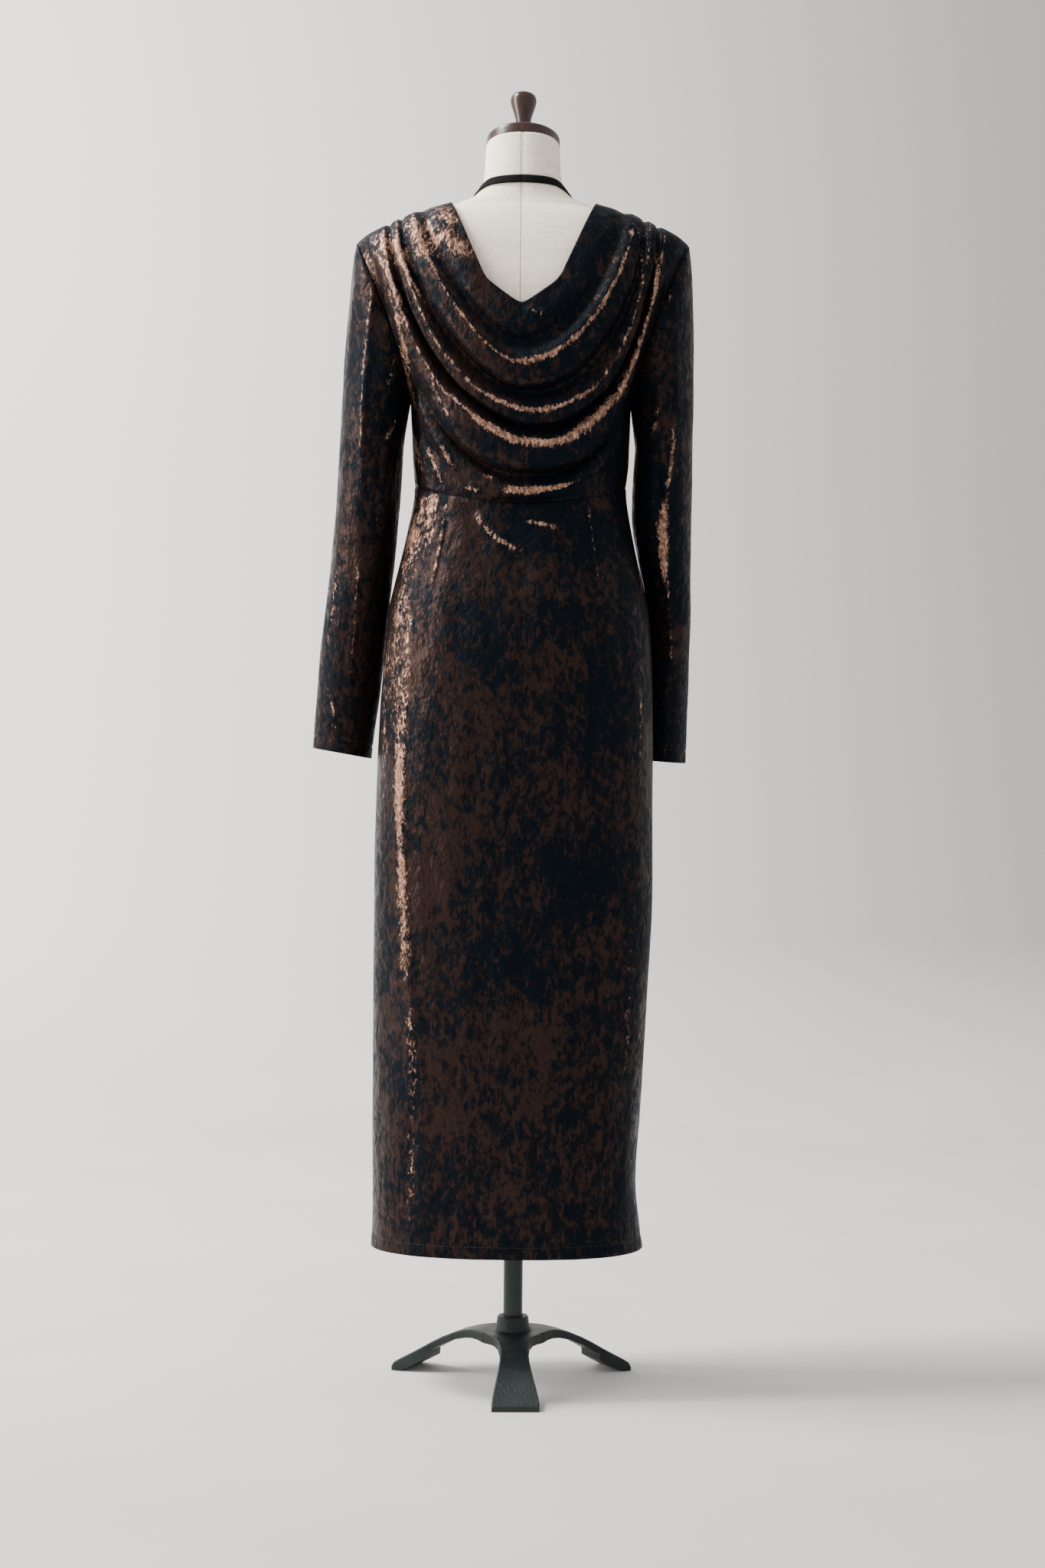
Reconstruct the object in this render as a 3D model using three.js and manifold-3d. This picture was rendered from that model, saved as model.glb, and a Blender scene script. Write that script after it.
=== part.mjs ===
// A long-sleeved column dress with a draped cowl back, worn by a limbless dress form on a three-legged
// iron stand.
// Millimetres, +Z up. The front of the dress faces -Y, its back +Y, and the wearer's left is +X.
// All sizes are measured from the axis of the post, and the floor is z = 0.
import * as THREE from "three";
import { mergeVertices } from "three/addons/utils/BufferGeometryUtils.js";
import Module from "manifold-3d";

const wasm = await Module();
wasm.setup();

// Driving sizes
const clothThickness = 1.4;
const seamGap = 0.4;
const clearance = 0.4;
const sectionPower = { back: 2.4, front: 2.25 };
const neckPointZ = 1397;
const shoulderTipZ = 1349;
const underarmZ = 1165;
const waistZ = 1062.6;
const armholeLean = 1.3;

// The dress in level sections: half widths on the wearer's left and right, and how far the back and front reach
const bodySections = [
  { z: 163.7, left: 169.3, right: 153.2, back: 109, front: 108 },
  { z: 196, left: 167.7, right: 148.4, back: 108, front: 107 },
  { z: 240, left: 168, right: 144.4, back: 107, front: 106 },
  { z: 327, left: 168.8, right: 149.1, back: 107, front: 106 },
  { z: 459, left: 169, right: 156.1, back: 108, front: 106 },
  { z: 590, left: 169.3, right: 161.4, back: 110, front: 108 },
  { z: 721, left: 166.8, right: 160.4, back: 115, front: 111 },
  { z: 789, left: 164.2, right: 160, back: 119, front: 114 },
  { z: 852, left: 159.8, right: 158.2, back: 119, front: 115 },
  { z: 915, left: 154.8, right: 154, back: 113, front: 112 },
  { z: 947, left: 147.8, right: 147.3, back: 106, front: 108 },
  { z: 980, left: 139, right: 138.9, back: 98, front: 104 },
  { z: 1012, left: 132, right: 132, back: 91, front: 100 },
  { z: 1034, left: 127.6, right: 128.4, back: 86, front: 98 },
  { z: 1062.6, left: 125.6, right: 126.3, back: 83, front: 98 },
  { z: 1089, left: 127.2, right: 128.8, back: 84, front: 106 },
  { z: 1111, left: 128.3, right: 129.5, back: 87, front: 112 },
  { z: 1143, left: 129.8, right: 130.5, back: 92, front: 122 },
  { z: 1165, left: 131, right: 131, back: 94, front: 128 },
  { z: 1180, left: 140, right: 140, back: 96, front: 130 },
  { z: 1200, left: 152, right: 152, back: 98, front: 130 },
  { z: 1230, left: 174, right: 174, back: 98, front: 122 },
  { z: 1257, left: 189, right: 189, back: 96, front: 112 },
  { z: 1300, left: 206, right: 206, back: 88, front: 95 },
  { z: 1330, left: 204, right: 204, back: 79, front: 80 },
  { z: 1349, left: 196, right: 198, back: 73, front: 70 },
  { z: 1367, left: 163, right: 166, back: 66, front: 62 },
  { z: 1383, left: 128.5, right: 129.5, back: 58, front: 54 },
  { z: 1397, left: 85, right: 88, back: 48, front: 44 },
];

// The draped back in rows that follow its folds. edge runs along the panel's outline, 0 at the neck point,
// 1 at the shoulder tip, 2 at the underarm and 3 at the waist. lowZ and lowX give the row's lowest point,
// bendLeft and bendRight how round it hangs on each side, vee how far it takes the neckline's pointed shape,
// level how level it leaves its edge, and phase a whole number on each crest. stand and swell give how far the
// row and its fold stand off the body, tuck the fold's size at the edge, and steps the grid rows to the next row.
const drapeRows = [
  {
    edge: 0, lowZ: 1264, lowX: 0, bendLeft: 1.4, bendRight: 1.5, vee: 1, level: 0,
    phase: 0, stand: 5, swell: 5, tuck: 0.5, steps: 7,
  },
  {
    edge: 0.3, lowZ: 1200, lowX: 2, bendLeft: 1.37, bendRight: 1.7, vee: 0, level: 0,
    phase: 1, stand: 3, swell: 16, tuck: 2.6, steps: 7,
  },
  {
    edge: 0.46, lowZ: 1147, lowX: -14, bendLeft: 1.65, bendRight: 1.85, vee: 0, level: 0,
    phase: 2, stand: 2, swell: 17, tuck: 2.6, steps: 6,
  },
  {
    edge: 0.62, lowZ: 1112, lowX: -25, bendLeft: 1.8, bendRight: 1.78, vee: 0, level: 0.04,
    phase: 3, stand: 2, swell: 22, tuck: 2.6, steps: 4,
  },
  {
    edge: 1, lowZ: 1097, lowX: -20, bendLeft: 2.4, bendRight: 2.6, vee: 0, level: 0,
    phase: 3.2, stand: 2, swell: 21, tuck: 0, steps: 3,
  },
  {
    edge: 1.3, lowZ: 1077, lowX: -14, bendLeft: 2.4, bendRight: 2.7, vee: 0, level: 0.05,
    phase: 3.5, stand: 2, swell: 18, tuck: 0, steps: 4,
  },
  {
    edge: 1.7, lowZ: 1056, lowX: -6, bendLeft: 1.8, bendRight: 2.4, vee: 0, level: 0.1,
    phase: 3.9, stand: 2, swell: 14, tuck: 0, steps: 3,
  },
  {
    edge: 2, lowZ: 1046, lowX: -4, bendLeft: 1.75, bendRight: 2.3, vee: 0, level: 0.1,
    phase: 4.1, stand: 1, swell: 10, tuck: 0, steps: 3,
  },
  {
    edge: 3, lowZ: 1036.5, lowX: 0, bendLeft: 1.6, bendRight: 1.6, vee: 0, level: 0,
    phase: 4.4, stand: 0, swell: 0, tuck: 0, steps: 0,
  },
];
const drapeSharpness = -0.85;
const drapeOverhang = 0.35;
// Folds flatten out over this distance before the armholes and side seams.
const foldMargin = 16;
const lowPointRounding = 0.06;
// The neckline's shape: it leaves its point at one slope and turns to a steeper one up to the neck.
const pointSlope = 0.45;
const neckSlope = 1.46;
const turnRounding = 0.05;

// The plain front in rows, from its wide scooped neckline to the waist.
const frontRows = [
  { edge: 0, lowZ: 1296, lowX: 0, bendLeft: 2.4, bendRight: 2.4, vee: 0, level: 0, steps: 2 },
  { edge: 0.6, lowZ: 1262, lowX: 0, bendLeft: 2.4, bendRight: 2.4, vee: 0, level: 0.3, steps: 2 },
  { edge: 1, lowZ: 1234, lowX: 0, bendLeft: 2.3, bendRight: 2.3, vee: 0, level: 0.9, steps: 5 },
  { edge: 1.5, lowZ: 1188, lowX: 0, bendLeft: 2.2, bendRight: 2.2, vee: 0, level: 0.9, steps: 5 },
  { edge: 2, lowZ: 1130, lowX: 0, bendLeft: 2, bendRight: 2, vee: 0, level: 0.9, steps: 4 },
  { edge: 3, lowZ: 1058, lowX: 0, bendLeft: 1.8, bendRight: 1.8, vee: 0, level: 0, steps: 0 },
];
const dipFadeLength = 190;

// The outer side of each sleeve between its armhole and its first ring, and the inner side below the underarm
const sleeveTopZ = 1110;
const sleeveOuterSides = [
  { z: 1110, left: 215, right: 205 },
  { z: 1187, left: 211.5, right: 205 },
  { z: 1250, left: 207.5, right: 204.5 },
  { z: 1300, left: 203, right: 203 },
  { z: 1330, left: 199.5, right: 201 },
  { z: 1349, left: 196.4, right: 198.6 },
];
const sleeveFullness = 1.04;
const armholeMidZ = 1257;

// The sleeves below the armhole in level rings: centre and half sizes of each
const sleeveRings = {
  left: [
    { z: 1110, x: 177, y: 0, halfX: 38, halfY: 58 },
    { z: 1034, x: 181.5, y: -6, halfX: 37.5, halfY: 54 },
    { z: 983, x: 186, y: -12, halfX: 38, halfY: 51 },
    { z: 940, x: 191, y: -18, halfX: 38, halfY: 48 },
    { z: 896, x: 196, y: -24, halfX: 38, halfY: 46 },
    { z: 852, x: 201, y: -30, halfX: 38.5, halfY: 44 },
    { z: 808, x: 205, y: -36, halfX: 38, halfY: 41 },
    { z: 765, x: 210, y: -42, halfX: 36, halfY: 38 },
    { z: 745, x: 212, y: -44, halfX: 35, halfY: 37 },
  ],
  right: [
    { z: 1110, x: 171, y: 0, halfX: 34, halfY: 60 },
    { z: 1034, x: 169, y: -10, halfX: 36, halfY: 56 },
    { z: 983, x: 173.5, y: -21, halfX: 32, halfY: 53 },
    { z: 940, x: 178.2, y: -33, halfX: 28, halfY: 50 },
    { z: 896, x: 180.8, y: -46, halfX: 26, halfY: 48 },
    { z: 852, x: 180.5, y: -58, halfX: 26.2, halfY: 46 },
    { z: 808, x: 179, y: -68, halfX: 27, halfY: 43 },
    { z: 765, x: 177.5, y: -77, halfX: 28, halfY: 40 },
    { z: 739, x: 176.5, y: -81, halfX: 28, halfY: 38 },
  ],
};
const cuffSlant = { left: 6, right: -2 };

// The dress form above the shoulders: half sizes of each ring, its centre, and its tip forward in degrees
const neckRings = [
  { z: 1397, half: 78, depth: 43, y: 0.5, tip: 0 },
  { z: 1402.5, half: 65, depth: 42.5, y: -1.5, tip: 0 },
  { z: 1409, half: 55.5, depth: 42.5, y: -3.7, tip: 0.8 },
  { z: 1416, half: 50.5, depth: 43, y: -6, tip: 2 },
  { z: 1424, half: 47.3, depth: 43.5, y: -8.3, tip: 4 },
  { z: 1437, half: 45.5, depth: 44, y: -11.7, tip: 8.5 },
  { z: 1450, half: 44.8, depth: 44, y: -14.9, tip: 12 },
  { z: 1469, half: 44, depth: 44, y: -19.8, tip: 14.7 },
];
const formBottomZ = 772;
const formInset = { chest: 5, shoulder: 3.5 };
const formLift = 3.2;
const armPlateInset = 7;
const socketDepth = 60;

// Wooden neck cap and knob, as radius and height of their turned outlines
const capRadius = 44.3;
const capThickness = 14.5;
const capCrown = 0.8;
const capOutline = [
  { r: 0, h: 0 },
  { r: capRadius - 1.2, h: 0 },
  { r: capRadius, h: 1.2 },
  { r: capRadius, h: 10.5 },
  { r: capRadius - 1.3, h: 13.1 },
  { r: capRadius - 4.5, h: capThickness },
  { r: 14, h: capThickness + capCrown },
  { r: 0, h: capThickness + capCrown },
];
const knobOutline = [
  { r: 0, h: 0 },
  { r: 10.4, h: 0 },
  { r: 10.6, h: 1.6 },
  { r: 9.3, h: 3 },
  { r: 8.5, h: 9 },
  { r: 8.6, h: 17 },
  { r: 9.8, h: 26 },
  { r: 12.4, h: 35 },
  { r: 14.9, h: 43 },
  { r: 15.9, h: 48 },
  { r: 15.7, h: 51.5 },
  { r: 14, h: 55 },
  { r: 9, h: 56.7 },
  { r: 0, h: 57 },
];

// Stand
const postRadius = 11.4;
const postBottomZ = 52;
const hubOutline = [
  { r: 0, h: 46 },
  { r: 26, h: 46 },
  { r: 26, h: 58 },
  { r: 21.5, h: 62 },
  { r: 19.6, h: 68 },
  { r: 18.6, h: 76 },
  { r: 17.4, h: 78 },
  { r: 0, h: 78 },
];
const legStations = [
  { reach: 0, half: 36, top: 60.5, under: 47 },
  { reach: 22, half: 34, top: 61, under: 49 },
  { reach: 32, half: 28, top: 61, under: 50 },
  { reach: 42, half: 22.8, top: 60.2, under: 50 },
  { reach: 54, half: 19, top: 58.2, under: 48.5 },
  { reach: 70, half: 16.8, top: 53.6, under: 44.3 },
  { reach: 88, half: 17.3, top: 45.6, under: 36.2 },
  { reach: 102, half: 19.2, top: 38, under: 28.6 },
  { reach: 111, half: 20.9, top: 32.6, under: 23.6 },
  { reach: 111.6, half: 21, top: 32.2, under: 15.6 },
  { reach: 127, half: 24, top: 23.2, under: 7 },
  { reach: 141, half: 26.4, top: 15.4, under: 0 },
  { reach: 149, half: 27.4, top: 10.4, under: 0 },
  { reach: 152, half: 27, top: 6.4, under: 0 },
];
const legBevel = 1.8;
const legCount = 3;
const baseTurn = THREE.MathUtils.degToRad(1.6);

// Neck strap: the height of its middle line at each turn round the neck, in degrees from the middle of the back
// down to its end on the front neckline
const strapWidth = 10;
const strapThickness = 1.2;
const strapLift = 2.4;
const strapRoute = [
  { turn: 0, z: 1421.5 },
  { turn: 45, z: 1420 },
  { turn: 72, z: 1414.5 },
  { turn: 90, z: 1408.5 },
  { turn: 108, z: 1401 },
  { turn: 121, z: 1389 },
  { turn: 130, z: 1368 },
  { turn: 135.5, z: 1345 },
  { turn: 139, z: 1320.3 },
];

// Grid sizes
const backColumns = 24;
const frontColumns = 16;
const sleeveColumns = 20;
const capRows = 7;
const strapRows = 24;
const ringColumns = 32;
const curveSamples = 80;

const materials = {
  velvet: new THREE.MeshStandardMaterial({ name: "velvet", color: 0x2e1a13, roughness: 0.75, metalness: 0 }),
  ribbon: new THREE.MeshStandardMaterial({ name: "ribbon", color: 0x0c0b0e, roughness: 0.85, metalness: 0 }),
  linen: new THREE.MeshStandardMaterial({ name: "linen", color: 0xe4dfd2, roughness: 0.9, metalness: 0 }),
  wood: new THREE.MeshStandardMaterial({ name: "wood", color: 0x3a1a12, roughness: 0.35, metalness: 0 }),
  iron: new THREE.MeshStandardMaterial({ name: "iron", color: 0x4c5351, roughness: 0.5, metalness: 0.6 }),
};

// A value of a table's column at a place between its rows, on a curve that never overshoots the rows
function along(rows, at, place, column) {
  let i = 0;
  while (i < rows.length - 2 && place(rows[i + 1], i + 1) < at) i += 1;
  const slope = (k) => {
    if (k < 0 || k > rows.length - 2) return null;
    return (rows[k + 1][column] - rows[k][column]) / (place(rows[k + 1], k + 1) - place(rows[k], k));
  };
  const tangent = (k) => {
    const before = slope(k - 1);
    const after = slope(k);
    if (before === null) return after;
    if (after === null) return before;
    return before * after <= 0 ? 0 : (2 * before * after) / (before + after);
  };
  const start = place(rows[i], i);
  const span = place(rows[i + 1], i + 1) - start;
  const t = THREE.MathUtils.clamp((at - start) / span, 0, 1);
  const a = rows[i][column];
  const b = rows[i + 1][column];
  const t2 = t * t;
  const t3 = t2 * t;
  return (
    (2 * t3 - 3 * t2 + 1) * a +
    (t3 - 2 * t2 + t) * span * tangent(i) +
    (3 * t2 - 2 * t3) * b +
    (t3 - t2) * span * tangent(i + 1)
  );
}

const byHeight = (row) => row.z;
const byNumber = (row, i) => i;
const byTurn = (row) => row.turn;

function sectionAt(z, column) {
  return along(bodySections, z, byHeight, column);
}

// A quarter of a superellipse: 1 in the middle, 0 at the edge
function arch(share, power) {
  return Math.pow(Math.max(0, 1 - Math.pow(Math.min(1, Math.abs(share)), power)), 1 / power);
}

// A point of the dress's body surface, on its back (facing 1) or front (facing -1)
function bodyPoint(x, z, facing) {
  const face = facing > 0 ? "back" : "front";
  const half = sectionAt(z, x > 0 ? "left" : "right");
  return new THREE.Vector3(x, facing * sectionAt(z, face) * arch(x / half, sectionPower[face]), z);
}

// How far up the armhole a height lies, from 0 at the underarm to 1 at the shoulder tip
function armholeRise(z) {
  return THREE.MathUtils.clamp((z - underarmZ) / (shoulderTipZ - underarmZ), 0, 1);
}

function armholeX(z, side) {
  const column = side > 0 ? "left" : "right";
  const low = sectionAt(underarmZ, column);
  return low + (sectionAt(shoulderTipZ, column) - low) * Math.pow(armholeRise(z), armholeLean);
}

// A point of the armhole, from 0 at the underarm to 1 at the shoulder tip along its length
function armholePoint(share, side, facing) {
  const z = THREE.MathUtils.lerp(underarmZ, shoulderTipZ, (1 - Math.cos(Math.PI * share)) / 2);
  return bodyPoint(side * armholeX(z, side), z, facing);
}

// A point of the outline of a bodice panel: shoulder seam, armhole and side seam
function edgePoint(edge, side, facing) {
  if (edge > 1 && edge < 2) return armholePoint(2 - edge, side, facing);
  const z =
    edge <= 1
      ? THREE.MathUtils.lerp(neckPointZ, shoulderTipZ, edge)
      : THREE.MathUtils.lerp(underarmZ, waistZ, edge - 2);
  return new THREE.Vector3(side * sectionAt(z, side > 0 ? "left" : "right"), 0, z);
}

// How deep a row hangs at a share of its way to the edge: 1 at its rounded low point, 0 at the edge
function hang(share, row, side) {
  const k = lowPointRounding;
  const rounded = (Math.hypot(share, k) - k) / (Math.hypot(1, k) - k);
  const round = arch(rounded, side > 0 ? row.bendLeft : row.bendRight);
  const point = 1 - pointSlope * rounded;
  const rise = neckSlope * (1 - rounded);
  const pointed = (point + rise - Math.hypot(point - rise, turnRounding)) / 2;
  const hung = THREE.MathUtils.lerp(round, (1 + Math.cos(Math.PI * rounded)) / 2, row.level);
  return THREE.MathUtils.lerp(hung, pointed, row.vee);
}

// Half the width between the panel's edges at a height: the armholes above the underarm, the side seams below
function panelHalf(z, side) {
  return z > underarmZ ? armholeX(z, side) : sectionAt(z, side > 0 ? "left" : "right");
}

// A point of a bodice row on one side, from its low point at share 0 to the panel's edge at 1
function hangingPoint(row, share, side, facing) {
  const end = edgePoint(row.edge, side, facing);
  if (share >= 1) return end;
  const z = end.z - (end.z - row.lowZ) * hang(share, row, side);
  const narrow = Math.min(1, panelHalf(z, side) / panelHalf(end.z, side));
  const narrowing = THREE.MathUtils.lerp(1, narrow, THREE.MathUtils.smoothstep(row.edge, 0.5, 1));
  return bodyPoint(row.lowX + (end.x * narrowing - row.lowX) * share, z, facing);
}

// Points at even distances along a curve, which is given from 0 to 1 and may turn sharply near 1
function evenPoints(curve, count) {
  const fine = Array.from({ length: curveSamples + 1 }, (unused, i) =>
    curve(i < curveSamples ? 1 - Math.pow(1 - i / curveSamples, 4) : 1),
  );
  const reached = [0];
  for (let i = 1; i < fine.length; i += 1) reached.push(reached[i - 1] + fine[i].distanceTo(fine[i - 1]));
  let k = 1;
  return Array.from({ length: count + 1 }, (unused, i) => {
    const wanted = (reached[curveSamples] * i) / count;
    while (k < curveSamples && reached[k] < wanted) k += 1;
    return fine[k - 1].clone().lerp(fine[k], (wanted - reached[k - 1]) / (reached[k] - reached[k - 1]));
  });
}

// A row of a panel from its left to its right seen from outside, moved off the seam plane. The curve gives a
// point for a share and a side.
function panelRow(curve, columns, facing) {
  const halves = [facing, -facing].map((side) => evenPoints((share) => curve(share, side), columns / 2));
  const points = [...halves[0].reverse(), ...halves[1].slice(1)];
  points.forEach((p) => (p.y += (facing * seamGap) / 2));
  return points;
}

// The unit normals of a grid of points, all on the side of the grid's front
function gridNormals(points, closed) {
  const rows = points.length;
  const columns = points[0].length;
  return points.map((line, i) =>
    line.map((unused, j) => {
      const up = points[Math.min(i + 1, rows - 1)][j].clone().sub(points[Math.max(i - 1, 0)][j]);
      const next = closed ? (j + 1) % columns : Math.min(j + 1, columns - 1);
      const last = closed ? (j + columns - 1) % columns : Math.max(j - 1, 0);
      return line[next].clone().sub(line[last]).cross(up).normalize();
    }),
  );
}

// The way from the bodice into a sleeve, across the armhole seam
function armholeOutward(side) {
  return new THREE.Vector3(side * 0.94, 0, -0.34);
}

// The normals of a panel, turned so that its walls meet square at the side, shoulder and waist seams, and don't
// reach across the armhole seams
function panelNormals(points, waistRow) {
  const normals = gridNormals(points, false);
  normals.forEach((line, i) => {
    for (const j of [0, line.length - 1]) {
      const outward = armholeOutward(Math.sign(points[i][j].x));
      if (Math.abs(points[i][j].y) < 1) line[j].setY(0).normalize();
      else line[j].addScaledVector(outward, Math.max(0, -line[j].dot(outward))).normalize();
    }
  });
  normals[waistRow].forEach((normal) => normal.setZ(0).normalize());
  return normals;
}

// A closed wall of cloth. Its outer face is the grid of points and its inner face lies one thickness inside.
function clothWall(points, normals, thickness, closed) {
  const rows = points.length;
  const columns = points[0].length;
  const inner = points.map((line, i) =>
    line.map((p, j) => p.clone().addScaledVector(normals[i][j], -thickness)),
  );
  const vertices = [...points.flat(), ...inner.flat()];
  const id = (layer, i, j) => layer * rows * columns + i * columns + (j % columns);
  const indices = [];
  const quad = (a, b, c, d) => indices.push(a, b, c, a, c, d);
  const lastColumn = closed ? columns : columns - 1;
  for (let i = 0; i < rows - 1; i += 1) {
    for (let j = 0; j < lastColumn; j += 1) {
      quad(id(0, i, j), id(0, i, j + 1), id(0, i + 1, j + 1), id(0, i + 1, j));
      quad(id(1, i + 1, j), id(1, i + 1, j + 1), id(1, i, j + 1), id(1, i, j));
    }
  }
  for (let j = 0; j < lastColumn; j += 1) {
    quad(id(1, 0, j), id(1, 0, j + 1), id(0, 0, j + 1), id(0, 0, j));
    quad(id(0, rows - 1, j), id(0, rows - 1, j + 1), id(1, rows - 1, j + 1), id(1, rows - 1, j));
  }
  if (!closed) {
    for (let i = 0; i < rows - 1; i += 1) {
      const last = columns - 1;
      quad(id(0, i, 0), id(0, i + 1, 0), id(1, i + 1, 0), id(1, i, 0));
      quad(id(1, i, last), id(1, i + 1, last), id(0, i + 1, last), id(0, i, last));
    }
  }
  return geometryOf(vertices, indices);
}

// A solid lofted through closed rings of points and closed by a fan at each end
function ringSolid(rings) {
  const columns = rings[0].length;
  const middle = (ring) => ring.reduce((sum, p) => sum.add(p), new THREE.Vector3()).divideScalar(columns);
  const vertices = [...rings.flat(), middle(rings[0]), middle(rings[rings.length - 1])];
  const bottom = rings.length * columns;
  const top = (rings.length - 1) * columns;
  const indices = [];
  for (let j = 0; j < columns; j += 1) {
    const next = (j + 1) % columns;
    for (let i = 0; i < rings.length - 1; i += 1) {
      const a = i * columns + j;
      const b = i * columns + next;
      indices.push(a, b, b + columns, a, b + columns, a + columns);
    }
    indices.push(bottom, next, j, bottom + 1, top + j, top + next);
  }
  return geometryOf(vertices, indices);
}

function geometryOf(vertices, indices) {
  const geometry = new THREE.BufferGeometry().setFromPoints(vertices);
  geometry.setIndex(indices);
  geometry.computeVertexNormals();
  return geometry;
}

// How far out a fold stands at a phase: 1 on each crest, 0 in the trough, which lies close under the crest
function foldHeight(phase) {
  const t = phase - Math.floor(phase);
  const warped = t + (drapeSharpness * (1 - Math.cos(2 * Math.PI * t))) / (2 * Math.PI);
  return (1 + Math.cos(2 * Math.PI * warped)) / 2;
}

// A row between those of a table. Its edge place changes evenly, so panels and sleeves meet point to point.
function rowAt(rows, q) {
  const row = {};
  for (const column of Object.keys(rows[0])) row[column] = along(rows, q, byNumber, column);
  const i = Math.min(Math.floor(q), rows.length - 2);
  row.edge = THREE.MathUtils.lerp(rows[i].edge, rows[i + 1].edge, q - i);
  return row;
}

// Where the grid rows of a bodice panel lie in its table, from the waist up to the neckline
function rowPlaces(rows) {
  const places = rows.flatMap((row, i) =>
    Array.from({ length: row.steps }, (unused, k) => i + k / row.steps),
  );
  places.push(rows.length - 1);
  return places.reverse();
}

function bodicePoints(rows, columns, facing) {
  return rowPlaces(rows).map((q) => {
    const row = rowAt(rows, q);
    return panelRow((share, side) => hangingPoint(row, share, side, facing), columns, facing);
  });
}

function drapedBack() {
  const points = bodicePoints(drapeRows, backColumns, 1);
  const normals = panelNormals(points, 0);
  const draped = rowPlaces(drapeRows).map((q, i) => {
    const row = rowAt(drapeRows, q);
    return points[i].map((p, j) => {
      const middle = Math.pow(Math.sin((Math.PI * j) / backColumns), 1.8);
      const room = THREE.MathUtils.smoothstep(panelHalf(p.z, Math.sign(p.x)) - Math.abs(p.x), 0, foldMargin);
      const fold = THREE.MathUtils.lerp(row.tuck, row.swell, middle) * foldHeight(row.phase) * room;
      const moved = p.clone().addScaledVector(normals[i][j], row.stand * middle * room + fold);
      moved.z -= drapeOverhang * fold * middle;
      return moved;
    });
  });
  return clothWall(draped, panelNormals(draped, 0), clothThickness, false);
}

function plainFront() {
  const points = bodicePoints(frontRows, frontColumns, -1);
  return clothWall(points, panelNormals(points, 0), clothThickness, false);
}

// A skirt panel hangs from the bodice's waist line, and the line's dip fades out below it.
function skirtPanel(facing) {
  const columns = facing > 0 ? backColumns : frontColumns;
  const bodiceRows = facing > 0 ? drapeRows : frontRows;
  const waist = bodiceRows[bodiceRows.length - 1];
  const skirtRow = (z) => {
    const fade = THREE.MathUtils.smoothstep(z, waistZ - dipFadeLength, waistZ);
    const curve = (share, side) => {
      const low = z - (waistZ - waist.lowZ) * fade * hang(share, waist, side);
      return bodyPoint(side * share * sectionAt(low, side > 0 ? "left" : "right"), low, facing);
    };
    return panelRow(curve, columns, facing);
  };
  const points = bodySections.map(byHeight).filter((z) => z < waistZ).map(skirtRow);
  const top = panelRow((share, side) => hangingPoint(waist, share, side, facing), columns, facing);
  top.forEach((p) => (p.z -= seamGap));
  points.push(top);
  return clothWall(points, panelNormals(points, points.length - 1), clothThickness, false);
}

// A point of a sleeve above its first ring, where its section is open towards the armhole. around runs from 0 on
// the sleeve's outer side to 1 at the armhole, or at the inner side below the underarm.
function sleeveCapPoint(z, around, side, facing) {
  const ring = sleeveRings[side > 0 ? "left" : "right"][0];
  const outer = along(sleeveOuterSides, z, byHeight, side > 0 ? "left" : "right");
  const armholeDepth = (at) => Math.abs(bodyPoint(side * armholeX(at, side), at, facing).y);
  const blend = THREE.MathUtils.smoothstep(z, sleeveTopZ, armholeMidZ);
  const depth =
    z >= armholeMidZ
      ? sleeveFullness * armholeDepth(z)
      : THREE.MathUtils.lerp(ring.halfY, sleeveFullness * armholeDepth(armholeMidZ), blend);
  const below = THREE.MathUtils.clamp((underarmZ - z) / (underarmZ - sleeveTopZ), 0, 1);
  const inner = THREE.MathUtils.lerp(armholeX(z, side), ring.x - ring.halfX, below);
  const mouth = z > underarmZ && depth > 0 ? armholeDepth(z) / depth : 0;
  const widest = Math.PI - Math.asin(Math.min(1, mouth));
  const half = (outer - inner) / (1 - Math.cos(widest));
  const turn = around * widest;
  return new THREE.Vector3(
    side * (outer - half + half * Math.cos(turn)),
    facing * depth * Math.sin(turn),
    z,
  );
}

// A sleeve from its cuff to its armhole, as columns that start all along the armhole's edge
function sleeve(side) {
  const rings = sleeveRings[side > 0 ? "left" : "right"];
  const slant = cuffSlant[side > 0 ? "left" : "right"];
  const outward = armholeOutward(side);
  const columns = Array.from({ length: sleeveColumns }, (unused, j) => {
    const turn = (2 * Math.PI * j) / sleeveColumns;
    const facing = turn <= Math.PI ? 1 : -1;
    const around = Math.min(turn, 2 * Math.PI - turn) / Math.PI;
    const startZ = armholePoint(1 - around, side, facing).z;
    const cap = Array.from({ length: capRows }, (unusedRow, k) => {
      const z = THREE.MathUtils.lerp(startZ, sleeveTopZ, Math.pow(k / capRows, 1.3));
      const reach = 1 - Math.acos(THREE.MathUtils.clamp(1 - 2 * armholeRise(z), -1, 1)) / Math.PI;
      const p = sleeveCapPoint(z, reach > 0 ? Math.min(1, around / reach) : 0, side, facing);
      return p.addScaledVector(outward, seamGap * (1 - k / capRows));
    });
    const ringPoints = rings.map((ring, i) => {
      const drop = i === rings.length - 1 ? slant * Math.cos(turn) : 0;
      const x = side * (ring.x + ring.halfX * Math.cos(turn));
      return new THREE.Vector3(x, ring.y + ring.halfY * Math.sin(turn), ring.z + drop);
    });
    return [...cap, ...ringPoints];
  });
  const rows = columns[0].map((unused, i) => columns.map((column) => column[i])).reverse();
  if (side < 0) rows.forEach((row) => row.reverse());
  const normals = gridNormals(rows, true);
  // At the armhole the wall ends square to the outward direction, so it stays beside the bodice's edge.
  for (const normal of normals[normals.length - 1]) {
    normal.addScaledVector(outward, -Math.max(0, normal.dot(outward))).normalize();
  }
  return clothWall(rows, normals, clothThickness, true);
}

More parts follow.
